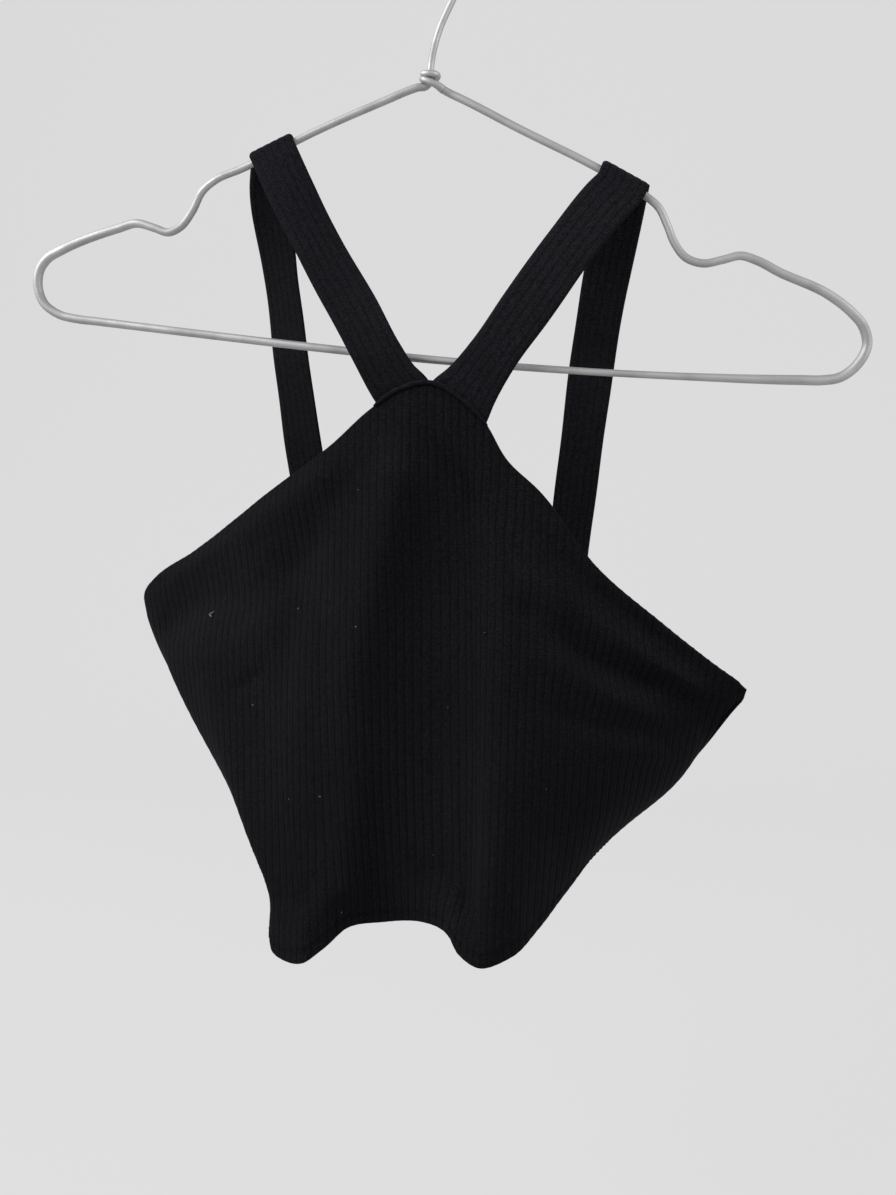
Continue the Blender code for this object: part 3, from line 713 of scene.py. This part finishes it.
def math_node(tree, place, operation, *values):
    """Result of one sum."""
    return add_node(tree, "ShaderNodeMath", place, dict(enumerate(values)), operation=operation).outputs[0]


def mix_colour(tree, place, factor, first, second, blend="MIX"):
    """Result of two mixed colours."""
    inputs = {0: factor}
    for socket, value in ((6, first), (7, second)):
        inputs[socket] = value if hasattr(value, "is_output") else (*value[:3], 1.0)
    return add_node(tree, "ShaderNodeMix", place, inputs, data_type="RGBA", blend_type=blend).outputs[2]


def noise(tree, place, vector, scale, detail=2.0, roughness=0.5):
    """Soft uneven values."""
    inputs = {"Vector": vector, "Scale": scale, "Detail": detail, "Roughness": roughness}
    return add_node(tree, "ShaderNodeTexNoise", place, inputs).outputs["Fac"]


def spread(tree, place, value, low, high):
    """Values from low to high, spread from 0 to 1."""
    inputs = {"Value": value, "From Min": low, "From Max": high}
    return add_node(tree, "ShaderNodeMapRange", place, inputs, clamp=True).outputs[0]


def bump(tree, place, height, distance, strength=1.0):
    """Normal of a surface that rises by a distance in millimetres."""
    inputs = {"Height": height, "Distance": distance * MM, "Strength": strength}
    return add_node(tree, "ShaderNodeBump", place, inputs).outputs[0]


def on_piece(tree, place):
    """Coordinates across and along the ribs or the wire."""
    return add_node(tree, "ShaderNodeUVMap", place, uv_map="rib_and_course").outputs["UV"]


def own_place(tree, place):
    """The object's own coordinates."""
    return add_node(tree, "ShaderNodeTexCoord", place).outputs["Object"]


def new_group(name, inputs, outputs):
    """A shader node group with named sockets."""
    tree = bpy.data.node_groups.new(name, "ShaderNodeTree")
    for title, kind, default in inputs:
        socket = tree.interface.new_socket(title, in_out="INPUT", socket_type=kind)
        if default is not None:
            socket.default_value = default
    for title, kind in outputs:
        tree.interface.new_socket(title, in_out="OUTPUT", socket_type=kind)
    enter = add_node(tree, "NodeGroupInput", (-6, 0))
    leave = add_node(tree, "NodeGroupOutput", (8, 0))
    return tree, enter.outputs, leave


def group_node(tree, place, name, inputs):
    """Outputs of a node group placed in a material."""
    return add_node(tree, "ShaderNodeGroup", place, inputs, node_tree=bpy.data.node_groups[name]).outputs


def knit_group():
    """Height of the looped stitches from the rib and course coordinates, and a painted shade that is darker
    in the clefts between the loops.
    """
    tree, enter, leave = new_group(
        "Rib knit stitches",
        [
            ("Coordinates", "NodeSocketVector", None),
            ("Wales", "NodeSocketFloat", 2.0),
            ("Course", "NodeSocketFloat", 1.15),
        ],
        [("Height", "NodeSocketFloat"), ("Shade", "NodeSocketFloat")],
    )
    parts = add_node(tree, "ShaderNodeSeparateXYZ", (-5, 0), {0: enter["Coordinates"]})
    wale = math_node(tree, (-4, 0), "MULTIPLY", parts.outputs[0], enter["Wales"])
    inside = math_node(tree, (-3, 0), "FRACT", wale)
    off = math_node(tree, (-2, 0), "ABSOLUTE", math_node(tree, (-2.5, 0), "SUBTRACT", inside, 0.5))
    course = math_node(tree, (-4, 2), "DIVIDE", parts.outputs[1], enter["Course"])
    leg = math_node(tree, (-1, 1), "MULTIPLY_ADD", off, 1.15, course)
    turn = math_node(tree, (0, 1), "MULTIPLY", leg, 2 * math.pi)
    loop = math_node(tree, (1, 1), "MULTIPLY_ADD", math_node(tree, (0.6, 1), "SINE", turn), 0.5, 0.5)
    cleft = math_node(tree, (0, 0), "MULTIPLY_ADD", off, -1.1, 1.0)
    height = math_node(tree, (2, 0), "MULTIPLY", loop, cleft)
    # Painted shade: darker in the clefts between the loops, lighter on their tops.
    shade = math_node(tree, (3, 1), "MULTIPLY_ADD", height, 0.6, 0.62)
    feed(tree, leave, {"Height": height, "Shade": shade})


def fuzz_group():
    """Uneven wear, loose fibres and specks of lint, from the object's own coordinates."""
    tree, enter, leave = new_group(
        "Cloth wear",
        [
            ("Position", "NodeSocketVector", None),
            ("Patch scale", "NodeSocketFloat", 16.0),
            ("Fibre scale", "NodeSocketFloat", 900.0),
            ("Speck scale", "NodeSocketFloat", 90.0),
        ],
        [("Worn", "NodeSocketFloat"), ("Fibres", "NodeSocketFloat"), ("Specks", "NodeSocketFloat")],
    )
    position = enter["Position"]
    patch = noise(tree, (-3, 0), position, enter["Patch scale"], 4.0, 0.6)
    fibre = noise(tree, (-3, 2), position, enter["Fibre scale"], 3.0)
    speck = {"Vector": position, "Scale": enter["Speck scale"]}
    speck = add_node(tree, "ShaderNodeTexVoronoi", (-3, 4), speck)
    near = math_node(tree, (-1, 4), "LESS_THAN", speck.outputs["Distance"], 0.028)
    chance = add_node(tree, "ShaderNodeSeparateColor", (-1, 5), {0: speck.outputs["Color"]})
    rare = math_node(tree, (0, 5), "GREATER_THAN", chance.outputs[0], 0.93)
    worn = spread(tree, (-1, 0), patch, 0.38, 0.70)
    specks = math_node(tree, (1, 4), "MULTIPLY", near, rare)
    feed(tree, leave, {"Worn": worn, "Fibres": fibre, "Specks": specks})


def new_material(name):
    """Node tree and shader of a new material."""
    made = bpy.data.materials.new(name)
    made.use_nodes = True
    shader = made.node_tree.nodes["Principled BSDF"]
    shader.location = (1500, 0)
    made.node_tree.nodes["Material Output"].location = (1800, 0)
    return made.node_tree, shader


def knit_material(name, colours, wear, share):
    """Matte black rib knit: looped stitches, painted shade in the grooves and in the clefts of the loops,
    fuzzy crests and a little lint.
    """
    tree, shader = new_material(name)
    knit = group_node(tree, (-3, 2), "Rib knit stitches", {"Coordinates": on_piece(tree, (-4, 2))})
    fuzz = group_node(tree, (-3, 4), "Cloth wear", {"Position": own_place(tree, (-4, 4))})
    crest = add_node(tree, "ShaderNodeAttribute", (-4, 0), attribute_name="rib_crest").outputs["Fac"]
    crest = math_node(tree, (-1, 0), "POWER", crest, 1.4)
    shades = (colours.knit, colours.groove, colours.faded)
    # share scales all the knit's colours; above 1 it makes a lit copy with painted light.
    yarn, groove, faded = ([share * v for v in shade] for shade in shades)
    # Painted shade: darker colour deep in the grooves, full yarn colour on the rib crests.
    base = mix_colour(tree, (0, 0), crest, groove, yarn)
    worn = math_node(tree, (0, 3), "MULTIPLY", fuzz["Worn"], wear)
    worn = math_node(tree, (1, 3), "MULTIPLY", worn, crest)
    base = mix_colour(tree, (2, 1), worn, base, faded)
    fibres_and_loop_shade = math_node(tree, (1, 5), "MULTIPLY_ADD", fuzz["Fibres"], 2.6, -0.30)
    # The painted shade of the loops multiplies the fibre flecks.
    fibres_and_loop_shade = math_node(tree, (2, 4), "MULTIPLY", knit["Shade"], fibres_and_loop_shade)
    base = mix_colour(tree, (3, 1), 0.9, base, fibres_and_loop_shade, "MULTIPLY")
    specks = math_node(tree, (3, 3), "MULTIPLY", fuzz["Specks"], 0.55)
    coarse = math_node(tree, (2, 5), "MULTIPLY", fuzz["Fibres"], 0.55)
    height = math_node(tree, (3, 5), "ADD", knit["Height"], coarse)
    feed(tree, shader, {
        "Base Color": mix_colour(tree, (4, 1), specks, base, colours.lint),
        "Roughness": math_node(tree, (4, 3), "MULTIPLY_ADD", fuzz["Fibres"], 0.10, 0.84),
        "Normal": bump(tree, (5, 4), height, 0.22, 0.7),
        "Specular IOR Level": 0.03,
        "Sheen Weight": 0.018,
        "Sheen Roughness": 0.5,
        "Sheen Tint": (0.85, 0.86, 1.0, 1.0),
    })


def thread_material(name, shade):
    """Twisted sewing thread."""
    tree, shader = new_material(name)
    parts = add_node(tree, "ShaderNodeSeparateXYZ", (-3, 0), {0: on_piece(tree, (-4, 0))})
    spiral = math_node(tree, (-2, 0), "MULTIPLY_ADD", parts.outputs[1], 2.2, parts.outputs[0])
    spiral = math_node(tree, (-1.5, 0), "MULTIPLY", spiral, THREAD_TWIST)
    ply = math_node(tree, (0, 0), "MULTIPLY_ADD", math_node(tree, (-1, 0), "SINE", spiral), 0.5, 0.5)
    low, high = ([share * v for v in shade] for share in (0.55, 1.5))
    feed(tree, shader, {
        "Base Color": mix_colour(tree, (1, 0), ply, low, high),
        "Roughness": math_node(tree, (2, 1), "MULTIPLY_ADD", ply, -0.12, 0.72),
        "Normal": bump(tree, (2, 2), ply, 0.06),
        "Specular IOR Level": 0.04,
    })


def wire_material(name, look):
    """Drawn wire: fine lengthwise lines and dull stretches."""
    tree, shader = new_material(name)
    drawn = {"Vector": on_piece(tree, (-5, 0)), "Scale": (26.0, 0.05, 1.0)}
    drawn = add_node(tree, "ShaderNodeMapping", (-4, 0), drawn)
    lines = noise(tree, (-3, 0), drawn.outputs[0], 1.0, 5.0)
    patches = noise(tree, (-3, 3), own_place(tree, (-5, 3)), 55.0, 5.0)
    dull = spread(tree, (-1, 3), patches, 0.42, 0.68)
    base = mix_colour(tree, (0, 0), dull, look.steel, look.worn)
    rough = math_node(tree, (1, 3), "MULTIPLY_ADD", dull, 0.12, 0.54)
    feed(tree, shader, {
        "Base Color": mix_colour(tree, (1, 0), 0.35, base, lines, "MULTIPLY"),
        "Roughness": math_node(tree, (2, 3), "MULTIPLY_ADD", lines, 0.10, rough),
        "Normal": bump(tree, (3, 4), lines, 0.10, 0.35),
        "Metallic": 1.0,
    })


def soft_only(tree, place, bright, dim):
    """Strength that is dim for the light that matte surfaces gather, and bright for the rest."""
    path = add_node(tree, "ShaderNodeLightPath", place)
    beside = (place[0] + 1, place[1])
    return math_node(tree, beside, "MULTIPLY_ADD", path.outputs["Is Diffuse Ray"], dim - bright, bright)


def paper_material(name, look):
    """Pale backdrop with a faint uneven tone."""
    tree, shader = new_material(name)
    tone = noise(tree, (-2, 0), own_place(tree, (-3, 0)), 0.8)
    feed(tree, shader, {
        "Base Color": mix_colour(tree, (0, 0), tone, [0.96 * v for v in look.paper], look.paper),
        "Roughness": 0.95,
        "Specular IOR Level": 0.0,
        "Emission Color": (1.0, 1.0, 1.0, 1.0),
        "Emission Strength": soft_only(tree, (0, 3), look.glow, 0.05),
    })


def materials():
    """All materials of the scene, made once."""
    if "rib_knit_cloth" not in bpy.data.materials:
        scene = bpy.context.scene
        colours = scene.top_colours
        knit_group()
        fuzz_group()
        knit_material("rib_knit_cloth", colours, 0.55, 1.0)
        # Painted light: the straps get the same knit 1.45 times lighter, for the light that falls on them
        # from above.
        knit_material("strap_knit_painted_light", colours, 0.55, 1.45)
        # Painted highlight: the neck roll gets the same knit 1.7 times lighter and fully faded, for the light
        # along its rolled edge.
        knit_material("edge_knit_painted_highlight", colours, 1.0, 1.7)
        thread_material("black_thread", colours.thread)
        thread_material("pale_fluff", colours.lint)
        wire_material("hanger_wire_steel", scene.hanger_look)
        paper_material("paper", scene.studio_look)
    return bpy.data.materials


def dress(piece, material, slot, *nodes):
    """Gives a piece its finish and its body, and hides the solids that it stands for; the slot is not used.
    """
    piece.data.materials.append(materials()[material])
    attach(piece, BODY)
    if nodes:
        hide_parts(*nodes)


def stitch_paths(points, normals, stitch, lift):
    """Short arched runs of thread along a line on the cloth."""
    run = lengths(points, [0, 1, 2])
    pitch = stitch + STITCH_GAP
    paths = []
    for k in range(int(run[-1] / pitch)):
        at = np.linspace(k * pitch + STITCH_GAP / 2, (k + 1) * pitch - STITCH_GAP / 2, len(STITCH_ARCH))
        out = unit(read_along(run, normals, at))
        paths.append(read_along(run, points, at) + out * (STITCH_ARCH + lift)[:, None])
    return paths


def hem_line(panel, depth, samples=500):
    """Line on the outside of the cloth at a depth above the hem."""
    around = np.array([[0.9], [1.0], [1.1]])
    share, level = np.broadcast_arrays(np.linspace(0.006, 0.994, samples), depth / panel.size[1] * around)
    points = panel.surface(share, level)[0]
    hem = panel.surface(share, np.broadcast_to([[0.0], [0.001], [0.002]], share.shape))[0]
    away = np.linalg.norm(points[1] - hem[0], axis=1)
    points, normals = panel.surface(share, level * np.clip(depth / away, 0.5, 2.0))
    return points[1], normals[1]


class TOP_OT_front(bpy.types.Operator):
    """Builds the front panel of rib knit"""

    bl_idname = "cross_top.front"
    bl_label = "Front panel"

    def execute(self, context):
        sizes = context.scene.top_sizes
        piece = cloth_mesh("front_cloth", front_panel(), sizes.front_ribs, FRONT_ROWS, sizes, CORNER_GAPS)
        dress(piece, "rib_knit_cloth", "rib_knit", "front_panel")
        return {"FINISHED"}


class TOP_OT_back(bpy.types.Operator):
    """Builds the low back panel of rib knit"""

    bl_idname = "cross_top.back"
    bl_label = "Back panel"

    def execute(self, context):
        sizes = context.scene.top_sizes
        piece = cloth_mesh("back_cloth", back_panel(), sizes.back_ribs, BACK_ROWS, sizes, CORNER_GAPS[::-1])
        dress(piece, "rib_knit_cloth", "rib_knit", "back_panel")
        return {"FINISHED"}


def strap_frames(table):
    """Places along a strap, closer where it bends, with its table, side and outward direction at each."""
    knots = lengths(table, [0, 1, 2])
    even = np.linspace(0, knots[-1], CURVE_SAMPLES)
    fine = smooth(knots, table, even)[:, :3]
    bend = np.linalg.norm(np.gradient(np.gradient(fine, axis=0), axis=0), axis=1)
    weight = 1 + STRAP_BEND_WEIGHT * bend / bend.max()
    run = np.concatenate([[0.0], np.cumsum((weight[1:] + weight[:-1]) / 2)])
    places = np.interp(np.linspace(0, run[-1], STRAP_ROWS), run, even)
    ahead = smooth(knots, table, np.minimum(places + TANGENT_STEP, knots[-1]))
    behind = smooth(knots, table, np.maximum(places - TANGENT_STEP, 0))
    along = unit((ahead - behind)[:, :3])
    centre = smooth(knots, table, places)
    slope, yaw = np.radians(centre[:, 3:5]).T
    side = np.stack([np.cos(slope) * np.cos(yaw), np.sin(yaw), np.sin(slope) * np.cos(yaw)], axis=1)
    side = unit(side - along * np.sum(side * along, axis=1, keepdims=True))
    return places, centre, side, np.cross(side, along)


def round_trip(row):
    """A row over the top of the strap and back along its underside."""
    return np.concatenate([row, row[-2:0:-1]])


def strap_object(name, table, sizes):
    """Folded band of rib knit along its centre line, with soft folded edges, and its length."""
    places, centre, side, out = strap_frames(table)
    ribs = sizes.strap_ribs
    across = np.linspace(-1, 1, ribs * COLUMNS_PER_RIB + 1)
    profile = RIB_PROFILE[np.arange(len(across)) % COLUMNS_PER_RIB]
    half_thick = sizes.strap_thick / MM / 2
    rise = (half_thick - STRAP_GROOVE + STRAP_GROOVE * profile) * (1 - np.abs(across) ** 10) ** 0.5
    # Away from the wire and from its lower end the strap hangs free, and there it sways and cups a little
    free = np.clip((np.abs(places - places[np.argmax(centre[:, 2])]) - 16) / 20, 0, 1)
    free = free * np.clip((places[-1] - places) / 25, 0, 1)
    sway = free * (0.35 * np.sin(places * 0.061 + 0.7) + 0.22 * np.sin(places * 0.137 + 2.0))
    cup = free * (0.30 + 0.25 * np.sin(places * 0.045 + 1.1))
    wide = centre[:, 5] / 2 * (1 + 0.012 * free * np.sin(places * 0.11 + 0.4))
    middle = centre[:, None, :3] + side[:, None] * (across[None] * wide[:, None])[..., None]
    middle = middle + out[:, None] * (sway[:, None] + cup[:, None] * (1 - across**2)[None])[..., None]
    lift = out[:, None] * rise[None, :, None]
    rings = np.concatenate([middle + lift, (middle - lift)[:, -2:0:-1]], axis=1)
    rows, sides = rings.shape[:2]
    quads, caps = tube_faces(rows, sides)
    rib = np.tile(round_trip((across + 1) / 2 * ribs), rows)
    crest = np.tile(round_trip(profile), rows)
    along = np.repeat(places, sides)
    return make_mesh(name, rings.reshape(-1, 3), quads, caps, rib, along, crest), places[-1]


class TOP_OT_straps(bpy.types.Operator):
    """Builds both shoulder straps"""

    bl_idname = "cross_top.straps"
    bl_label = "Straps"

    def execute(self, context):
        sizes = context.scene.top_sizes
        for name, table in (("strap_left", STRAP_LEFT), ("strap_right", STRAP_RIGHT)):
            piece, length = strap_object(name + "_band", table, sizes)
            dress(piece, "strap_knit_painted_light", "rib_knit", name)
        return {"FINISHED"}


class TOP_OT_neck_roll(bpy.types.Operator):
    """Builds the rolled seam that closes over the strap ends"""

    bl_idname = "cross_top.neck_roll"
    bl_label = "Neck roll"

    def execute(self, context):
        sizes = context.scene.top_sizes
        share, level = np.broadcast_arrays(np.linspace(*ROLL_SHARES, ROLL_SAMPLES), [[0.96], [0.98], [1.0]])
        points, normals = front_panel().surface(share, level)
        radius = sizes.roll / MM
        run = np.linspace(0, 1, ROLL_SAMPLES)
        taper = np.clip(np.minimum(run, 1 - run) / 0.10, 0, 1) ** 0.6
        uneven = 1 + 0.05 * np.sin(run * 47) + 0.04 * np.sin(run * 23 + 1)
        path = points[-1] + normals[-1] * (sizes.rib_rise / MM + radius * 0.35) + np.array([0, 0, 0.55])
        thick = radius * 0.85 * (0.2 + 0.8 * taper) * uneven
        piece = tubes_object("neck_roll_seam", [path], [thick], 18, ROLL_SQUASH)
        # Painted highlight: the roll is dressed in the lighter copy of the knit.
        dress(piece, "edge_knit_painted_highlight", "rib_knit", "neck_roll")
        return {"FINISHED"}


class TOP_OT_stitching(bpy.types.Operator):
    """Builds the two rows of thread along the hem and the cloth edges inside the side seams"""

    bl_idname = "cross_top.stitching"
    bl_label = "Stitching"

    def execute(self, context):
        sizes = context.scene.top_sizes
        turn = sizes.turn / MM
        lift = sizes.rib_rise / MM - 0.10
        for name, panel in (("hem_stitches_front", front_panel()), ("hem_stitches_back", back_panel())):
            paths = []
            for row in STITCH_ROWS:
                paths += stitch_paths(*hem_line(panel, turn * row), sizes.stitch / MM, lift)
            piece = tubes_object(name, paths, [THREAD_RADIUS] * len(paths), 6)
            dress(piece, "black_thread", "rib_knit")
        for name, share, seam in (
            ("seam_left_allowance", 0.0, SEAM_LEFT), ("seam_right_allowance", 1.0, SEAM_RIGHT),
        ):
            piece = self.allowance(name, front_panel(), share, seam)
            dress(piece, "rib_knit_cloth", "rib_knit")
        return {"FINISHED"}

    def allowance(self, name, panel, share, seam):
        """Overlocked fin of cloth inside a side seam."""
        level = np.linspace(*FIN_LEVELS, FIN_SAMPLES)
        points = panel.form(np.full(FIN_SAMPLES, share), level)
        out = unit(np.outer(1 - level, seam[0]) + np.outer(level, seam[1]))
        thick = unit(np.cross(out, unit(np.gradient(points, axis=0))))
        steps = np.arange(FIN_SAMPLES)
        wave = 0.2 * np.sin(steps * 0.55) + 0.1 * np.sin(steps * 0.21)
        reach = FIN_REACH + 0.2 * np.sin(steps * 1.7)
        rings = []
        for far, up in FIN_SECTION:
            inward = (0.45 + (reach + 1.4) * far)[:, None]
            rings.append(points - out * inward + thick * (up + wave * far)[:, None] + np.array([0, far, 0]))
        rings = np.stack(rings, axis=1)
        sides = len(FIN_SECTION)
        quads, caps = tube_faces(FIN_SAMPLES, sides)
        across = np.tile([far * 2 for far, up in FIN_SECTION], FIN_SAMPLES)
        along = np.repeat(lengths(points, [0, 1, 2]), sides)
        return make_mesh(name, rings.reshape(-1, 3), quads, caps, across, along)


class TOP_OT_wear(bpy.types.Operator):
    """Adds the snag with its pale thread and the specks of lint"""

    bl_idname = "cross_top.wear"
    bl_label = "Snag and lint"

    def execute(self, context):
        panel = front_panel()
        paths, radii = [], []
        t = np.linspace(-1, 1, 7)
        for share, level, size, turn in LINT:
            place, way, up = self.spot(panel, share, level)
            side = np.cross(up, way)
            line = np.outer(t, math.cos(turn) * way + math.sin(turn) * side) + np.outer(t**2, side) * 0.5
            paths.append(place + up * 0.62 + size * line)
            radii.append(LINT_RADIUS * (1.05 - t**2))
        self.fluff("lint_specks", paths, radii)
        place, way, up = self.spot(panel, *SNAG_PLACE)
        side = np.cross(up, way)
        t = np.linspace(0, 1, 16)[:, None]
        arch = np.sin(t * math.pi)
        first = up * (0.55 + 0.9 * arch) + way * (2.8 * t - 1.2) + side * (1.3 * np.sin(t * 4.2))
        second = up * (0.55 + 0.5 * arch) + way * (0.6 - 1.8 * t) + side * (0.9 * t + 0.5 * np.sin(t * 6))
        self.fluff("snag_thread", [place + first, place + second], SNAG_RADII)
        return {"FINISHED"}

    def fluff(self, name, paths, radii):
        """Fine pale threads on the cloth."""
        dress(tubes_object(name, paths, radii, 6), "pale_fluff", "rib_knit")

    def spot(self, panel, share, level):
        """Point, upward direction and normal on the front."""
        around = np.array([-0.004, 0.0, 0.004])
        points, normals = panel.surface(*np.broadcast_arrays(share + around, (level + around)[:, None]))
        return points[1, 1], unit(points[2, 1] - points[0, 1]), normals[1, 1]


class TOP_OT_hanger(bpy.types.Operator):
    """Builds the hanger from one bent wire"""

    bl_idname = "cross_top.hanger"
    bl_label = "Hanger"

    def execute(self, context):
        radius = context.scene.hanger_look.radius / MM
        plane = [(x, 0.0, z) for x, z in LOOP]
        loop = self.wire_path(LOOP_START + plane + LOOP_END, LOOP_SAMPLES)
        pressed = np.array(PRESSED)
        thick = smooth(pressed[:, 0], pressed[:, 1:], np.linspace(0, 1, LOOP_SAMPLES))[:, 0]
        nodes = ("hanger_arm_left", "hanger_end_left", "hanger_bar", "hanger_end_right", "hanger_arm_right")
        self.wire("hanger_wire_loop", loop, radius * thick, *nodes)
        angles = np.radians(np.arange(HOOK_FROM, HOOK_TO + 1, HOOK_STEP))
        arc = HOOK_RADIUS * np.stack([np.cos(angles), 0 * angles, np.sin(angles)], axis=1)
        arc = arc + np.array([0, 0, radius - HOOK_RADIUS])
        stem = self.wire_path([(x, 0.0, z) for x, z in STEM], STEM_SAMPLES)
        hook = self.wire_path(np.concatenate([stem[:-1], arc]), HOOK_SAMPLES)
        thick = STEM_SHARE * self.cut_end(HOOK_SAMPLES, 0.35)
        self.wire("hanger_wire_hook", hook, radius * thick, "hanger_hook")
        wrap = self.wire_path(WRAP, WRAP_SAMPLES)
        thick = WRAP_SHARE + (1 - WRAP_SHARE) * np.clip(1 - np.arange(WRAP_SAMPLES) / 25.0, 0, 1)
        thick = thick * self.cut_end(WRAP_SAMPLES, 0.3)
        self.wire("hanger_wire_collar", wrap, radius * thick, "hanger_collar")
        return {"FINISHED"}

    def wire(self, name, path, radius, *nodes):
        """One stretch of wire in place of its solids."""
        dress(tubes_object(name, [path], [radius], WIRE_SIDES), "hanger_wire_steel", "hanger_wire", *nodes)

    def wire_path(self, rows, samples):
        """Even points of a smooth path through the rows."""
        knots = lengths(rows, [0, 1, 2])
        return smooth(knots, rows, np.linspace(0, knots[-1], samples))

    def cut_end(self, samples, narrower):
        """Thickness along a wire that narrows where it is cut off."""
        to_end = np.arange(samples)[::-1]
        return 1 - narrower * np.clip(1 - to_end / 2.0, 0, 1) ** 2


class TOP_OT_cloth_facts(bpy.types.Operator):
    """Does nothing when run."""

    bl_idname = "cross_top.cloth_facts"
    bl_label = "Cloth facts"

    def execute(self, context):
        return {"FINISHED"}


class TOP_OT_stage(bpy.types.Operator):
    """Builds the pale backdrop, the soft light and the camera"""

    bl_idname = "cross_top.stage"
    bl_label = "Backdrop, light and camera"

    def execute(self, context):
        scene = context.scene
        look = scene.studio_look
        self.backdrop()
        world = bpy.data.worlds.new("studio")
        world.use_nodes = True
        background = world.node_tree.nodes["Background"]
        feed(world.node_tree, background, {
            "Color": (1.0, 1.0, 1.0, 1.0),
            "Strength": soft_only(world.node_tree, (-3, 0), look.sky, look.fill),
        })
        scene.world = world
        self.lamp("soft_key", look.key)
        self.lamp("side_fill", look.side)
        camera = bpy.data.objects.new("camera", bpy.data.cameras.new("camera"))
        camera.location = CAMERA_PLACE
        camera.rotation_euler = [math.radians(v) for v in CAMERA_TURN]
        camera.data.sensor_width = CAMERA_SENSOR
        camera.data.lens = CAMERA_LENS
        camera.data.clip_start = 0.01
        scene.collection.objects.link(camera)
        scene.camera = camera
        scene.view_settings.view_transform = "Standard"
        return {"FINISHED"}

    def backdrop(self):
        """Floor that bends up into a wall behind the top."""
        bend_y = BACKDROP_WALL - BACKDROP_BEND
        bend_z = BACKDROP_FLOOR + BACKDROP_BEND
        profile = [(BACKDROP_FRONT, BACKDROP_FLOOR), (bend_y, BACKDROP_FLOOR)]
        for angle in range(BEND_STEP, 90, BEND_STEP):
            a = math.radians(angle)
            profile.append((bend_y + BACKDROP_BEND * math.sin(a), bend_z - BACKDROP_BEND * math.cos(a)))
        profile += [(BACKDROP_WALL, bend_z), (BACKDROP_WALL, BACKDROP_TOP)]
        points = [(x, y, z) for y, z in profile for x in (-BACKDROP_HALF_WIDTH, BACKDROP_HALF_WIDTH)]
        quads = [(2 * k, 2 * k + 1, 2 * k + 3, 2 * k + 2) for k in range(len(profile) - 1)]
        sweep = make_mesh("backdrop", points, quads)
        sweep.data.materials.append(materials()["paper"])

    def lamp(self, name, power):
        """Square soft lamp turned to its aim."""
        place, aim, size = LAMPS[name]
        light = bpy.data.lights.new(name, "AREA")
        light.shape = "SQUARE"
        light.size = size
        light.energy = power
        made = bpy.data.objects.new(name, light)
        made.location = place
        way = Vector(aim) - Vector(place)
        made.rotation_euler = way.to_track_quat("-Z", "Y").to_euler()
        bpy.context.scene.collection.objects.link(made)


OPERATORS = (
    TOP_OT_hanger, TOP_OT_front, TOP_OT_back, TOP_OT_straps, TOP_OT_neck_roll,
    TOP_OT_stitching, TOP_OT_wear, TOP_OT_cloth_facts, TOP_OT_stage,
)


class TOP_PT_pieces(bpy.types.Panel):
    """Lists the pieces of the top and its hanger"""

    bl_label = "Cross-front top"
    bl_idname = "TOP_PT_pieces"
    bl_space_type = "VIEW_3D"
    bl_region_type = "UI"
    bl_category = "Top"

    def draw(self, context):
        for operator in OPERATORS:
            self.layout.operator(operator.bl_idname)
        for name, group in GROUPS:
            box = self.layout.box()
            for value in group.__annotations__:
                box.prop(getattr(context.scene, name), value)


GROUPS = (
    ("top_sizes", ClothSizes), ("top_colours", ClothColours),
    ("hanger_look", HangerLook), ("studio_look", StudioLook),
)


def register():
    """Adds the settings, the operators and the panel."""
    for name, group in GROUPS:
        bpy.utils.register_class(group)
        setattr(bpy.types.Scene, name, bpy.props.PointerProperty(type=group))
    for item in (*OPERATORS, TOP_PT_pieces):
        bpy.utils.register_class(item)


def unregister():
    """Takes them away again."""
    for item in reversed((*OPERATORS, TOP_PT_pieces)):
        bpy.utils.unregister_class(item)
    for name, group in reversed(GROUPS):
        delattr(bpy.types.Scene, name)
        bpy.utils.unregister_class(group)


def main():
    """Builds everything."""
    register()
    for operator in OPERATORS:
        group, name = operator.bl_idname.split(".")
        getattr(getattr(bpy.ops, group), name)()


if __name__ == "__main__":
    main()
